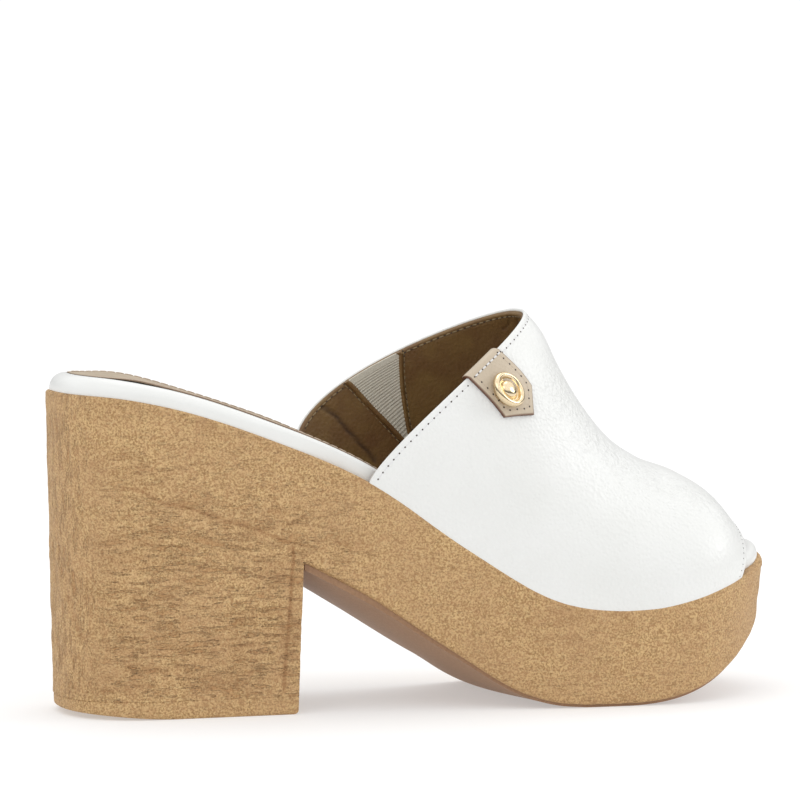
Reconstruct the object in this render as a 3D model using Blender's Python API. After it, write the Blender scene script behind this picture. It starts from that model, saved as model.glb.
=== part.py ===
"""Heeled peep-toe mule for the right foot: a moulded cork-look platform with a block heel, a wrapped footbed,
a one-piece leather upper with an elastic gusset, a folded tab and a stud.

Dimensions are in millimetres, counted from the back of the heel; build() shifts them so that the origin lies under the
middle of the heel, on the floor. +X points to the toe, +Y to the inner side of the foot, +Z up.
"""

import math

import bmesh
import bpy
import numpy as np

MM = 0.001
HEEL_CENTRE = 36.3
GAP = 0.3

# Plan of the platform.
HEEL_BACK = -0.7
HEEL_ROUND = 30.6
HEEL_POWER = 2.3
TOE_TIP = 232.7
TOE_ROUND = 49.0
TOE_POWER = 2.1
TOE_SWING = 6.2
SWING_START = 141.0

# Side of the platform.
RIM_ROUND = 2.0
WALL_DRAFT = 2.2
EDGE_ROUND = 1.2
BREAST_X = 72.4
FLAT_FROM = 160.0
FLAT_TO = 174.0
TOE_SPRING = 146.0
HEEL_FLOOR_BACK = 1.1
HEEL_FLOOR_FRONT = 70.6
HEEL_FLOOR_HALF = 26.7
HEEL_FLOOR_ROUND = 28.4
TOP_PIECE = 5.7

# Sheets over and under the platform.
OUTSOLE = 1.8
OUTSOLE_INSET = 0.8
FOOTBED = 5.2
FOOTBED_HEEL_INSET = 0.9
FOOTBED_HEEL_ROUND = 3.6
FOOTBED_ROUND = 1.3
FOOTBED_TOE_ROUND = 4.0
FOOTBED_CUP = 1.0
SOCK = 0.9
SOCK_MARGIN = 2.0

# Upper.
WALL = 2.2
UPPER_INSET = 0.4
UPPER_DROP = 0.35

# Fittings of the upper.
TAB = 1.3
TAB_INNER_LEG = 0.05
TAB_STEPS = 9
GORE = 0.7
GORE_STEPS = 8
STUD_ALONG = 0.108
STUD_AROUND = -0.583
STUD_STEPS = 36

# Steps of the meshes.
HEEL_STEPS = 8
TOE_STEPS = 10
ACROSS = 9
ALONG_UPPER = 26
AROUND_UPPER = 28

RIM = {
    "columns": ("x", "rim_z", "outer_half", "inner_half", "arch_rise"),
    "rows": (
        (0.0, 99.2, 29.7, 29.7, 0.0),
        (14.0, 98.2, 29.5, 29.5, 0.1),
        (28.0, 95.6, 29.6, 29.5, 0.3),
        (61.0, 84.9, 30.9, 30.0, 2.2),
        (94.0, 70.1, 32.2, 30.5, 4.0),
        (122.0, 50.5, 35.0, 32.5, 3.0),
        (150.0, 33.9, 40.5, 37.5, 1.0),
        (179.0, 30.5, 43.3, 42.5, 0.0),
        (207.0, 36.2, 44.8, 42.5, 0.0),
        (235.0, 44.1, 36.8, 37.0, 0.0),
    ),
}
UNDERSIDE = {
    "columns": ("x", "edge_z", "crown", "tilt"),
    "rows": (
        (70.5, 45.8, 3.0, 1.2),
        (94.0, 33.0, 4.0, 2.4),
        (117.5, 17.8, 3.3, 2.5),
        (141.0, 3.5, 1.0, 2.4),
        (151.0, 0.8, 0.1, 0.5),
        (160.0, 0.0, 0.0, 0.0),
    ),
}
UPPER = {
    "columns": ("along", "outer_x", "inner_x", "top_x", "top_y", "outer_power", "inner_power", "outer_bulge",
                "inner_bulge", "outer_lean", "inner_lean"),
    "rows": (
        (0.0, 92.1, 85.6, 151.8, 2.0, 2.36, 3.0, 3.3, 3.7, 1.285, 1.73),
        (0.25, 122.0, 118.0, 164.0, 3.0, 2.3, 2.6, 2.5, 2.6, 1.12, 1.4),
        (0.5, 153.0, 151.0, 180.5, 4.0, 2.2, 2.3, 1.5, 1.5, 1.0, 1.1),
        (0.75, 184.5, 184.0, 201.0, 4.7, 2.15, 2.15, 1.5, 1.5, 1.0, 1.0),
        (1.0, 214.6, 217.0, 219.8, 5.0, 2.1, 2.1, 0.8, 1.0, 1.0, 1.0),
    ),
}
RIDGE = {
    "columns": ("x", "z"),
    "rows": (
        (151.8, 121.6),
        (157.5, 114.8),
        (162.2, 105.3),
        (168.3, 95.0),
        (178.0, 82.6),
        (189.1, 74.8),
        (202.8, 69.4),
        (213.4, 62.4),
        (219.8, 54.6),
    ),
}

TAB_TIP = {
    "columns": ("around", "along"),
    "rows": ((-0.646, 0.146), (-0.553, 0.201), (-0.480, 0.154)),
}
GORE_EDGE = {
    "columns": ("along", "rear", "front"),
    "rows": ((0.010, 0.792, 0.628), (0.187, 0.824, 0.808)),
}
STUD_PROFILE = {
    "columns": ("radius", "height"),
    "rows": (
        (0.0, 0.0),
        (4.6, 0.0),
        (5.6, 0.5),
        (6.0, 1.2),
        (5.8, 1.9),
        (5.2, 2.2),
        (4.6, 2.0),
        (4.2, 1.4),
        (3.6, 1.5),
        (2.8, 2.2),
        (1.5, 2.8),
        (0.0, 3.0),
    ),
}


def read(table, name, at):
    """Reads a column of a table at values of its first column, on a smooth curve through the rows."""
    rows = np.array(table["rows"], float)
    xs = rows[:, 0]
    ys = rows[:, table["columns"].index(name)]
    h = np.diff(xs)
    secant = np.diff(ys) / h
    slope = np.empty(len(xs))
    slope[1:-1] = (h[1:] * secant[:-1] + h[:-1] * secant[1:]) / (h[:-1] + h[1:])
    slope[0] = secant[0]
    slope[-1] = secant[-1]
    at = np.clip(np.asarray(at, float), xs[0], xs[-1])
    k = np.clip(np.searchsorted(xs, at) - 1, 0, len(h) - 1)
    t = (at - xs[k]) / h[k]
    near = (1 + 2 * t) * (1 - t) ** 2 * ys[k] + t * (1 - t) ** 2 * h[k] * slope[k]
    far = t * t * (3 - 2 * t) * ys[k + 1] + t * t * (t - 1) * h[k] * slope[k + 1]
    return near + far


def stations():
    """The rim's x, its end factor and the x of the heel's foot, from the back of the heel to the tip of the toe."""
    turn = np.linspace(0.0, math.pi / 2, HEEL_STEPS + 1)
    shift = 1 - np.cos(turn) ** (2 / HEEL_POWER)
    back_x = HEEL_BACK + HEEL_ROUND * shift
    foot_x = HEEL_FLOOR_BACK + HEEL_FLOOR_ROUND * shift
    heel_x = np.linspace(HEEL_BACK + HEEL_ROUND, BREAST_X, 6)[1:]
    heel_foot = np.linspace(HEEL_FLOOR_BACK + HEEL_FLOOR_ROUND, HEEL_FLOOR_FRONT, 6)[1:]
    toe_start = TOE_TIP - TOE_ROUND
    waist_x = np.linspace(BREAST_X, FLAT_FROM, 13)[1:]
    ball_x = np.array([(FLAT_FROM + FLAT_TO) / 2, FLAT_TO, toe_start])
    turn_toe = np.linspace(0.0, math.pi / 2, TOE_STEPS + 1)[1:]
    toe_x = toe_start + TOE_ROUND * np.sin(turn_toe) ** (2 / TOE_POWER)
    x = np.concatenate([back_x, heel_x, waist_x, ball_x, toe_x])
    factor = np.ones(len(x))
    factor[: HEEL_STEPS + 1] = np.sin(turn) ** (2 / HEEL_POWER)
    factor[-TOE_STEPS:] = np.abs(np.cos(turn_toe)) ** (2 / TOE_POWER)
    factor[-1] = 0.0
    foot = np.concatenate([foot_x, heel_foot])
    return x, factor, foot


STATION_X, STATION_FACTOR, STATION_FOOT = stations()
BREAST = HEEL_STEPS + 5
LAST = len(STATION_X) - 1


def swing(x):
    """The y of the plan's centre line."""
    return TOE_SWING * np.clip((x - SWING_START) / (TOE_TIP - SWING_START), 0, None) ** 2


def bed(x, y):
    """The height of the platform's top, which rises towards the arch of the foot."""
    across = np.clip((y - swing(x)) / read(RIM, "inner_half", x), 0, 1)
    return read(RIM, "rim_z", x) + read(RIM, "arch_rise", x) * across**2


def under(x):
    """The height of the outsole's lower edge."""
    spring = np.clip(x - FLAT_TO, 0, None) ** 2 / TOE_SPRING
    return np.where(x < FLAT_FROM, read(UNDERSIDE, "edge_z", x), spring)


def outline(inset):
    """The outer and the inner edge of the plan at every station, moved in from the rim."""
    centre = swing(STATION_X)
    outer = centre - read(RIM, "outer_half", STATION_X) * STATION_FACTOR
    inner = centre + read(RIM, "inner_half", STATION_X) * STATION_FACTOR
    outer_edge = np.stack([STATION_X, outer], -1)
    inner_edge = np.stack([STATION_X, inner], -1)
    loop = np.concatenate([outer_edge, inner_edge[-2:0:-1]])
    tangent = np.roll(loop, -1, 0) - np.roll(loop, 1, 0)
    normal = np.stack([tangent[:, 1], -tangent[:, 0]], -1)
    normal /= np.linalg.norm(normal, axis=1)[:, None]
    depth = np.broadcast_to(np.asarray(inset, float), (LAST + 1,))
    depth = np.concatenate([depth, depth[-2:0:-1]])
    loop = loop - normal * depth[:, None]
    return loop[: LAST + 1], np.concatenate([loop[:1], loop[:LAST - 1:-1]])


def heel_foot_outline():
    """The D-shaped outline of the heel on the floor, a point for each station back from the breast."""
    x = STATION_FOOT
    half = HEEL_FLOOR_HALF * STATION_FACTOR[: BREAST + 1]
    return np.stack([x, -half], -1), np.stack([x, half], -1)


def with_z(points, z):
    """Plan points with a height each."""
    return np.concatenate([points, np.broadcast_to(z, points.shape[:-1])[..., None]], -1)


def between(first, second, steps):
    """Rows of points from one line of points to the other."""
    first = np.asarray(first, float)
    t = np.linspace(0, 1, steps + 1).reshape((-1,) + (1,) * first.ndim)
    return first + (second - first) * t


def filled(first, second, height):
    """Rows between two edges that follow a height over the plan and meet both edges."""
    rows = between(first, second, ACROSS)
    share = np.linspace(0, 1, ACROSS + 1)[:, None]
    offset = rows[..., 2] - between(height(first, 0.0), height(second, 1.0), ACROSS)
    rows[..., 2] = height(rows, share) + offset
    return rows


def smooth_step(x, start, end):
    t = np.clip((x - start) / (end - start), 0, 1)
    return t * t * (3 - 2 * t)


class Shell:
    """Collects grids of points and makes one closed mesh of them; points that coincide become one vertex."""

    def __init__(self):
        self.index = {}
        self.points = []
        self.faces = []

    def vertex(self, point):
        key = tuple(int(round(value * 2000)) for value in point)
        if key not in self.index:
            self.index[key] = len(self.points)
            self.points.append([(point[0] - HEEL_CENTRE) * MM, point[1] * MM, point[2] * MM])
        return self.index[key]

    def face(self, corners):
        ids = [self.vertex(point) for point in corners]
        ids = [value for k, value in enumerate(ids) if value != ids[k - 1]]
        if len(set(ids)) > 2:
            self.faces.append(ids)

    def grid(self, rows):
        rows = np.asarray(rows)
        for i in range(rows.shape[0] - 1):
            for j in range(rows.shape[1] - 1):
                self.face([rows[i, j], rows[i + 1, j], rows[i + 1, j + 1], rows[i, j + 1]])

    def build(self, name, colour, roughness, metallic=0.0, crease=40.0):
        mesh = bpy.data.meshes.new(name)
        mesh.from_pydata(self.points, [], self.faces)
        work = bmesh.new()
        work.from_mesh(mesh)
        bmesh.ops.recalc_face_normals(work, faces=work.faces)
        if work.calc_volume(signed=True) < 0:
            bmesh.ops.reverse_faces(work, faces=work.faces)
        work.to_mesh(mesh)
        work.free()
        mesh.shade_smooth()
        mesh.set_sharp_from_angle(angle=math.radians(crease))
        material = bpy.data.materials.new(name)
        material.use_nodes = True
        shader = material.node_tree.nodes["Principled BSDF"]
        shader.inputs["Base Color"].default_value = (*colour, 1.0)
        shader.inputs["Roughness"].default_value = roughness
        shader.inputs["Metallic"].default_value = metallic
        mesh.materials.append(material)
        item = bpy.data.objects.new(name, mesh)
        bpy.context.scene.collection.objects.link(item)
        return item


def platform_levels():
    """The side of the platform: rows of points from the rim down to the underside, for its two sides."""
    rims = outline(0.0)
    moved = outline(1.0)
    feet = heel_foot_outline()
    lower = sole_z(STATION_X, 0.0)
    behind = read(RIM, "rim_z", STATION_X) - (read(RIM, "rim_z", BREAST_X) - lower[BREAST])
    split = np.where(np.arange(LAST + 1) <= BREAST, behind, lower)
    sides = []
    for rim, inwards, foot, t in zip(rims, moved, feet, (0.0, 1.0)):
        inwards = inwards - rim
        top = bed(rim[:, 0], rim[:, 1])
        base = np.where(STATION_X < BREAST_X, split, sole_z(STATION_X, t))
        end = rim + inwards * WALL_DRAFT
        end_z = base
        run = np.zeros_like(rim)
        run[BREAST + 1 :] = end[BREAST + 1 :] - rim[BREAST + 1 :]
        drop = (top - end_z)[:, None]
        run[BREAST + 1 :] /= drop[BREAST + 1 :]
        run[: BREAST + 1] = (foot - rim[: BREAST + 1]) / top[: BREAST + 1, None]

        def at(z, inset):
            return with_z(rim + run * (top - z)[:, None] + inwards * inset, z)

        rounding = np.where(np.arange(LAST + 1) > BREAST, EDGE_ROUND, 0.0)
        rows = []
        for inset, sink in ((RIM_ROUND, 0.0), (0.6, 0.6)):
            point = rim + inwards * inset
            rows.append(with_z(point, bed_at(point, t) - sink))
        rows.append(at(top - 2.2, 0.0))
        body = between(top - 2.2, base + EDGE_ROUND, 3)[1:]
        rows += [at(z, 0.0) for z in body]
        rows.append(at(base, rounding[:, None]))
        heel = between(base[: BREAST + 1], np.full(BREAST + 1, TOP_PIECE + GAP), 7)
        columns = []
        for z in heel:
            padded = np.concatenate([z, base[BREAST + 1 :]])
            columns.append(at(padded, 0.0)[: BREAST + 1])
        sides.append((np.array(rows), np.array(columns)))
    return sides


def sole_z(x, t):
    """The underside of the platform; t runs from 0 at its outer edge to 1 at its inner edge."""
    hang = read(UNDERSIDE, "crown", x) * 4 * t * (1 - t) + read(UNDERSIDE, "tilt", x) * t
    return np.maximum(under(x) - hang, 0.0) + OUTSOLE + GAP


def make_platform(sides):
    (outer_rows, outer_heel), (inner_rows, inner_heel) = sides
    shell = Shell()
    shell.grid(outer_rows)
    shell.grid(inner_rows)
    shell.grid(outer_heel)
    shell.grid(inner_heel)
    shell.grid(filled(outer_rows[0], inner_rows[0], bed_at))
    floor = between(outer_rows[-1][BREAST:], inner_rows[-1][BREAST:], ACROSS)
    t = np.linspace(0, 1, ACROSS + 1)[:, None]
    floor[..., 2] = sole_z(STATION_X[None, BREAST:], t)
    shell.grid(floor)
    breast = between(outer_heel[:, BREAST], inner_heel[:, BREAST], ACROSS)
    fade = np.linspace(1, 0, outer_heel.shape[0])[None, :]
    hang = floor[:, :1, 2] - between(floor[0, 0, 2], floor[-1, 0, 2], ACROSS)[:, None]
    breast[..., 2] += hang * fade
    shell.grid(breast)
    foot = between(outer_heel[-1], inner_heel[-1], ACROSS)
    shell.grid(foot)
    shell.build("platform_sole", (0.52, 0.34, 0.17), 0.8)
    return floor


def make_top_piece():
    """The lift under the heel."""
    rims = outline(0.0)
    feet = heel_foot_outline()
    shell = Shell()
    rings = []
    for rim, foot in zip(rims, feet):
        rim = rim[: BREAST + 1]
        top = bed(rim[:, 0], rim[:, 1])[:, None]
        rows = []
        for z, inset in ((TOP_PIECE, 0.5), (TOP_PIECE - 0.5, 0.0), (1.0, 0.0), (0.0, 1.0)):
            point = foot + (rim - foot) * z / top
            middle = np.array([HEEL_CENTRE, 0.0])
            point = middle + (point - middle) * (1 - inset / 30.0)
            rows.append(with_z(point, z))
        rings.append(np.array(rows))
    outer, inner = rings
    shell.grid(outer)
    shell.grid(inner)
    shell.grid(between(outer[0], inner[0], ACROSS))
    shell.grid(between(outer[-1], inner[-1], ACROSS))
    shell.grid(between(outer[:, BREAST], inner[:, BREAST], ACROSS))
    shell.build("heel_top_piece", (0.50, 0.32, 0.16), 0.7)


def make_outsole(floor):
    """The thin rubber sheet under the waist and the forefoot, a little narrower than the platform's underside."""
    width = np.linalg.norm(floor[-1] - floor[0], axis=-1)
    margin = np.minimum(OUTSOLE_INSET / np.maximum(width, 0.1), 0.2)
    t = np.linspace(0, 1, ACROSS + 1)[:, None]
    t = margin + (1 - 2 * margin) * t
    top = floor[0] + (floor[-1] - floor[0]) * t[..., None]
    top[..., 2] = sole_z(STATION_X[None, BREAST:], t) - GAP
    top[:, 0] += (top[:, 1] - top[:, 0]) * 0.07
    back = top[:, -2].mean(0) - top[0, -1]
    top[:, -1] += back * OUTSOLE_INSET / np.linalg.norm(back)
    low = top.copy()
    low[..., 2] -= OUTSOLE
    shell = Shell()
    shell.grid(top)
    shell.grid(low)
    shell.grid(np.array([top[0], low[0]]))
    shell.grid(np.array([top[-1], low[-1]]))
    shell.grid(np.array([top[:, 0], low[:, 0]]))
    shell.build("outsole", (0.30, 0.20, 0.13), 0.7)


def footbed_inset(x):
    """How far the footbed's edge stands in from the rim: more where the upper comes down beside it."""
    beside = UPPER_INSET + WALL + GAP + 0.1
    inset = FOOTBED_HEEL_INSET + (beside - FOOTBED_HEEL_INSET) * smooth_step(x, 66.0, 84.0)
    return inset + (1.6 - beside) * smooth_step(x, 219.0, 226.0)


def bed_at(points, t):
    """The platform's top under each point."""
    return bed(points[..., 0], points[..., 1])


def bed_top(points, t):
    """The footbed's upper face, a little hollow across."""
    return bed_at(points, t) + GAP + FOOTBED - FOOTBED_CUP * STATION_FACTOR * 4 * t * (1 - t)


def footbed_round(x):
    """The radius along the footbed's upper edge, which is larger round the heel and at the tip of the toe."""
    heel = (FOOTBED_HEEL_ROUND - FOOTBED_ROUND) * (1 - smooth_step(x, 45.0, 80.0))
    return FOOTBED_ROUND + heel + (FOOTBED_TOE_ROUND - FOOTBED_ROUND) * smooth_step(x, 212.0, 224.0)


def make_footbed():
    inset = footbed_inset(STATION_X)
    radius = footbed_round(STATION_X)
    turns = np.radians((0.0, 30.0, 60.0, 90.0))
    levels = [(inset + 0.3, 0.0), (inset, 0.5)]
    levels += [(inset + radius * (1 - np.cos(turn)), FOOTBED - radius * (1 - np.sin(turn))) for turn in turns]
    bands = []
    for k in (0, 1):
        rows = []
        for depth, rise in levels:
            point = outline(depth)[k]
            rows.append(with_z(point, bed_at(point, k) + GAP + rise))
        bands.append(np.array(rows))
    outer, inner = bands
    shell = Shell()
    shell.grid(outer)
    shell.grid(inner)
    shell.grid(filled(outer[0], inner[0], bed_at))
    shell.grid(filled(outer[-1], inner[-1], bed_top))
    shell.build("footbed", (0.86, 0.85, 0.82), 0.5)


def make_sock():
    rounding = footbed_round(STATION_X)
    inset = footbed_inset(STATION_X) + np.maximum(rounding + 0.6, FOOTBED_ROUND + SOCK_MARGIN)
    edge = outline(inset)
    shell = Shell()
    t = np.linspace(0, 1, ACROSS + 1)[:, None]
    base = between(edge[0], edge[1], ACROSS)
    base = with_z(base, bed_top(base, t) + GAP)
    face = base.copy()
    face[..., 2] += SOCK
    shell.grid(base)
    shell.grid(face)
    shell.grid(np.array([base[0], face[0]]))
    shell.grid(np.array([base[-1], face[-1]]))
    shell.build("sock_lining", (0.45, 0.29, 0.17), 0.6)


def rim_at(x, side, inset):
    """A point of the platform's rim at any x ahead of the heel; side is -1 for the outer and 1 for the inner."""

    def edge(value):
        ahead = np.clip((value - TOE_TIP + TOE_ROUND) / TOE_ROUND, 0, 1)
        factor = (1 - ahead**TOE_POWER) ** (1 / TOE_POWER)
        outer = -read(RIM, "outer_half", value) * factor
        inner = read(RIM, "inner_half", value) * factor
        return swing(value) + np.where(side < 0, outer, inner)

    y = edge(x)
    slope = (edge(x + 0.05) - edge(x - 0.05)) / 0.1
    length = np.sqrt(1 + slope**2)
    return x + side * inset * slope / length, y - side * inset / length


def skin(along, around):
    """The upper's outer face: along from 0 at the collar to 1 at the toe, around from -1 through 0 on top to 1."""
    along, around = np.broadcast_arrays(np.asarray(along, float), np.asarray(around, float))
    side = np.where(around < 0, -1.0, 1.0)
    start_x = np.where(side < 0, read(UPPER, "outer_x", along), read(UPPER, "inner_x", along))
    x0, y0 = rim_at(start_x, side, UPPER_INSET)
    z0 = bed(x0, y0) - UPPER_DROP
    x1 = read(UPPER, "top_x", along)
    y1 = read(UPPER, "top_y", along)
    z1 = read(RIDGE, "z", x1)
    power = 2 / np.where(side < 0, read(UPPER, "outer_power", along), read(UPPER, "inner_power", along))
    turn = (1 - np.abs(around)) * math.pi / 2
    rise = np.sin(turn) ** power
    reach = np.abs(np.cos(turn)) ** power
    lean = np.where(side < 0, read(UPPER, "outer_lean", along), read(UPPER, "inner_lean", along))
    x = x0 + (x1 - x0) * rise**lean
    bulge = np.where(side < 0, read(UPPER, "outer_bulge", along), read(UPPER, "inner_bulge", along))
    y = y1 + (y0 - y1) * reach + side * bulge * 4 * rise * (1 - rise)
    z = z0 + (z1 - z0) * rise
    return np.stack([x, y, z], -1)


def skin_normal(along, around):
    """The outward direction of the upper's face."""
    step = 2e-3
    forward = skin(np.clip(along + step, 0, 1), around) - skin(np.clip(along - step, 0, 1), around)
    sideways = skin(along, np.clip(around + step, -1, 1)) - skin(along, np.clip(around - step, -1, 1))
    normal = np.cross(forward, sideways)
    return normal / np.linalg.norm(normal, axis=-1, keepdims=True)


def at_depth(along, around, depth):
    """A point under the outer face by depth; a negative depth lies over it."""
    along, around = np.broadcast_arrays(np.asarray(along, float), np.asarray(around, float))
    return skin(along, around) - skin_normal(along, around) * depth


def make_upper():
    along = np.linspace(0, 1, ALONG_UPPER + 1)[:, None]
    around = np.linspace(-1, 1, AROUND_UPPER + 1)[None, :]
    outer = at_depth(along, around, 0.0)
    inner = at_depth(along, around, WALL)
    for k in (0, -1):
        inner[:, k, 2] = bed(inner[:, k, 0], inner[:, k, 1]) + GAP + 0.2
    shell = Shell()
    shell.grid(outer)
    shell.grid(inner)
    for row, nearby in ((0, 1), (-1, -2)):
        away = outer[row] - outer[nearby]
        away /= np.linalg.norm(away, axis=-1, keepdims=True)
        middle = (outer[row] + inner[row]) / 2 + away * 0.6
        middle[0, 2] = (outer[row, 0, 2] + inner[row, 0, 2]) / 2
        middle[-1, 2] = (outer[row, -1, 2] + inner[row, -1, 2]) / 2
        shell.grid(np.array([outer[row], middle, inner[row]]))
        shell.face([outer[row, 0], middle[0], inner[row, 0]])
        shell.face([outer[row, -1], middle[-1], inner[row, -1]])
    shell.grid(np.array([outer[:, 0], inner[:, 0]]))
    shell.grid(np.array([outer[:, -1], inner[:, -1]]))
    shell.build("upper", (0.86, 0.86, 0.85), 0.5, crease=50.0)


def slab(shell, low, high):
    """Closes two matching grids of points into one sheet."""
    shell.grid(low)
    shell.grid(high)
    for edge in ((0, slice(None)), (-1, slice(None)), (slice(None), 0), (slice(None), -1)):
        shell.grid(np.array([low[edge], high[edge]]))


def make_gore():
    """The elastic gusset: a wedge on the upper's inner face, narrow at its lower end."""
    start = GORE_EDGE["rows"][0][0]
    end = GORE_EDGE["rows"][-1][0]
    along = np.linspace(start, end, GORE_STEPS + 1)[:, None]
    share = np.linspace(0, 1, GORE_STEPS + 1)[None, :]
    rear = read(GORE_EDGE, "rear", along)
    front = read(GORE_EDGE, "front", along)
    around = rear + (front - rear) * share
    shell = Shell()
    slab(shell, at_depth(along, around, WALL + GAP), at_depth(along, around, WALL + GAP + GORE))
    shell.build("elastic_gore", (0.62, 0.58, 0.50), 0.9)


def make_tab():
    """A leather tab folded over the collar: a pointed outer leg, the fold and a short inner leg."""
    tips = np.array(TAB_TIP["rows"])
    around = np.concatenate([np.linspace(tips[0, 0], tips[1, 0], 6), np.linspace(tips[1, 0], tips[2, 0], 5)[1:]])
    tip = np.interp(around, tips[:, 0], tips[:, 1])
    low = []
    high = []
    for part in np.linspace(1, 0, TAB_STEPS + 1):
        low.append(at_depth(tip * part, around, -GAP))
        high.append(at_depth(tip * part, around, -GAP - TAB))
    edge = skin(0.0, around)
    away = edge - skin(0.01, around)
    away /= np.linalg.norm(away, axis=-1, keepdims=True)
    out = skin_normal(0.0, around)
    centre = edge - out * WALL / 2 + away * 0.4
    for turn in np.radians(np.linspace(0, 180, 7)):
        reach = out * math.cos(turn) + away * math.sin(turn)
        low.append(centre + reach * (WALL / 2 + GAP))
        high.append(centre + reach * (WALL / 2 + GAP + TAB))
    for along in (TAB_INNER_LEG / 2, TAB_INNER_LEG):
        low.append(at_depth(along, around, WALL + GAP))
        high.append(at_depth(along, around, WALL + GAP + TAB))
    shell = Shell()
    slab(shell, np.array(low), np.array(high))
    shell.build("tab", (0.55, 0.42, 0.28), 0.6)


def make_stud():
    """A round stud on the tab, turned about the direction in which the tab faces."""
    centre = at_depth(STUD_ALONG, STUD_AROUND, -GAP - TAB - GAP)
    out = skin_normal(np.array(STUD_ALONG), np.array(STUD_AROUND))
    aside = skin(STUD_ALONG + 0.01, STUD_AROUND) - skin(STUD_ALONG, STUD_AROUND)
    aside -= out * (aside @ out)
    aside /= np.linalg.norm(aside)
    across = np.cross(out, aside)
    turns = np.linspace(0, 2 * math.pi, STUD_STEPS + 1)
    turns[-1] = 0.0
    rings = []
    for radius, height in STUD_PROFILE["rows"]:
        flat = np.cos(turns)[:, None] * aside + np.sin(turns)[:, None] * across
        rings.append(centre + flat * radius + out * height)
    shell = Shell()
    shell.grid(np.array(rings))
    shell.build("stud", (0.83, 0.62, 0.28), 0.2, metallic=1.0, crease=30.0)


def build():
    for item in list(bpy.data.objects):
        bpy.data.objects.remove(item, do_unlink=True)
    floor = make_platform(platform_levels())
    make_top_piece()
    make_outsole(floor)
    make_footbed()
    make_sock()
    make_upper()
    make_gore()
    make_tab()
    make_stud()


build()
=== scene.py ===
import math

import bmesh
import bpy
import numpy as np
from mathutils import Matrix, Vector


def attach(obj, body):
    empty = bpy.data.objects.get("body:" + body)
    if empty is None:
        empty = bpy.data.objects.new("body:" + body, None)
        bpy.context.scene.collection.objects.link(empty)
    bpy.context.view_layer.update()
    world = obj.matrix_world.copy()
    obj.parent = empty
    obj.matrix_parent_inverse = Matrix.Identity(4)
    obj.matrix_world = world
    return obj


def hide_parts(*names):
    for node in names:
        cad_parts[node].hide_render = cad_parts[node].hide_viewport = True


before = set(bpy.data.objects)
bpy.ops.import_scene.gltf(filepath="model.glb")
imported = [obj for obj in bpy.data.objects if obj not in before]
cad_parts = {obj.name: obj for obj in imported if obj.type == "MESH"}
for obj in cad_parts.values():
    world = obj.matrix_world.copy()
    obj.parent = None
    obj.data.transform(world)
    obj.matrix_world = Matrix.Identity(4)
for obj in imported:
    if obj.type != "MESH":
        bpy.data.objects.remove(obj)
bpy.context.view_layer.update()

# Sizes are in millimetres, counted from the back of the heel.
# MM and HEEL_CENTRE bring them into the frame: +X to the toe, +Y to the inner side of the foot, +Z up.
MM = 0.001
HEEL_CENTRE = 36.3
GAP = 0.3

HEEL_BACK = -0.7
HEEL_ROUND = 30.6
HEEL_POWER = 2.3
TOE_TIP = 232.7
TOE_ROUND = 49.0
TOE_POWER = 2.1
TOE_SWING = 6.2
SWING_START = 141.0

RIM_ROUND = 1.0
RIM_SINK = 1.1
TOE_RIM_ROUND = 0.9
TOE_RIM_SINK = 2.4
WALL_DRAFT = 2.2
EDGE_ROUND = 1.2
BREAST_X = 72.4
FLAT_FROM = 160.0
FLAT_TO = 174.0
TOE_SPRING = 146.0
HEEL_FLOOR_BACK = 1.1
HEEL_FLOOR_FRONT = 70.6
HEEL_FLOOR_HALF = 26.7
HEEL_FLOOR_ROUND = 28.4
TOP_PIECE = 5.7
HEEL_BEVEL = 1.8
SKIRT = 1.2
SKIRT_SPAN = (84.0, 125.0)
# Where the cork's creases run upright: up to the first pair of x and past the second.
HEEL_END = (3.0, 15.0)
TOE_END = (214.0, 226.0)
TOE_RIM_SPAN = (216.0, 230.0)

OUTSOLE = 1.8
OUTSOLE_INSET = 0.8
FOOTBED = 5.2
FOOTBED_HEEL_INSET = 0.9
FOOTBED_HEEL_ROUND = 3.6
FOOTBED_ROUND = 1.3
FOOTBED_TOE_ROUND = 4.8
FOOTBED_CUP = 1.0
SOCK_MARGIN = 2.0

WALL = 2.2
UPPER_INSET = 0.4
UPPER_DROP = 0.35
TAB_INNER_LEG = 0.05
STUD_ALONG = 0.108
STUD_AROUND = -0.583
STUD_TILT = (0.34, 0.0, 0.36)
STUD_SHIFT = (0.3, 0.0, 0.5)
STUD_SCALE = 1.0
STUD_FOOT = 1.3

RIM = {
    "columns": ("x", "rim_z", "outer_half", "inner_half", "arch_rise"),
    "rows": (
        (0.0, 99.2, 29.7, 29.7, -1.3),
        (14.0, 98.2, 29.5, 29.5, -1.1),
        (28.0, 95.6, 29.6, 29.5, 0.1),
        (61.0, 84.9, 30.9, 30.0, 2.2),
        (94.0, 70.1, 32.2, 30.5, 4.0),
        (122.0, 50.5, 35.0, 32.5, 3.0),
        (150.0, 33.9, 40.5, 37.5, 1.0),
        (179.0, 30.5, 43.3, 42.5, 0.0),
        (207.0, 36.2, 44.8, 42.5, 0.0),
        (235.0, 44.1, 36.8, 37.0, 0.0),
    ),
}
UNDERSIDE = {
    "columns": ("x", "edge_z", "crown", "tilt"),
    "rows": (
        (70.5, 45.8, 3.0, 1.2),
        (94.0, 33.0, 4.0, 2.4),
        (117.5, 17.8, 3.3, 2.5),
        (141.0, 3.5, 1.0, 2.4),
        (151.0, 0.8, 0.1, 0.5),
        (160.0, 0.0, 0.0, 0.0),
    ),
}
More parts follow.
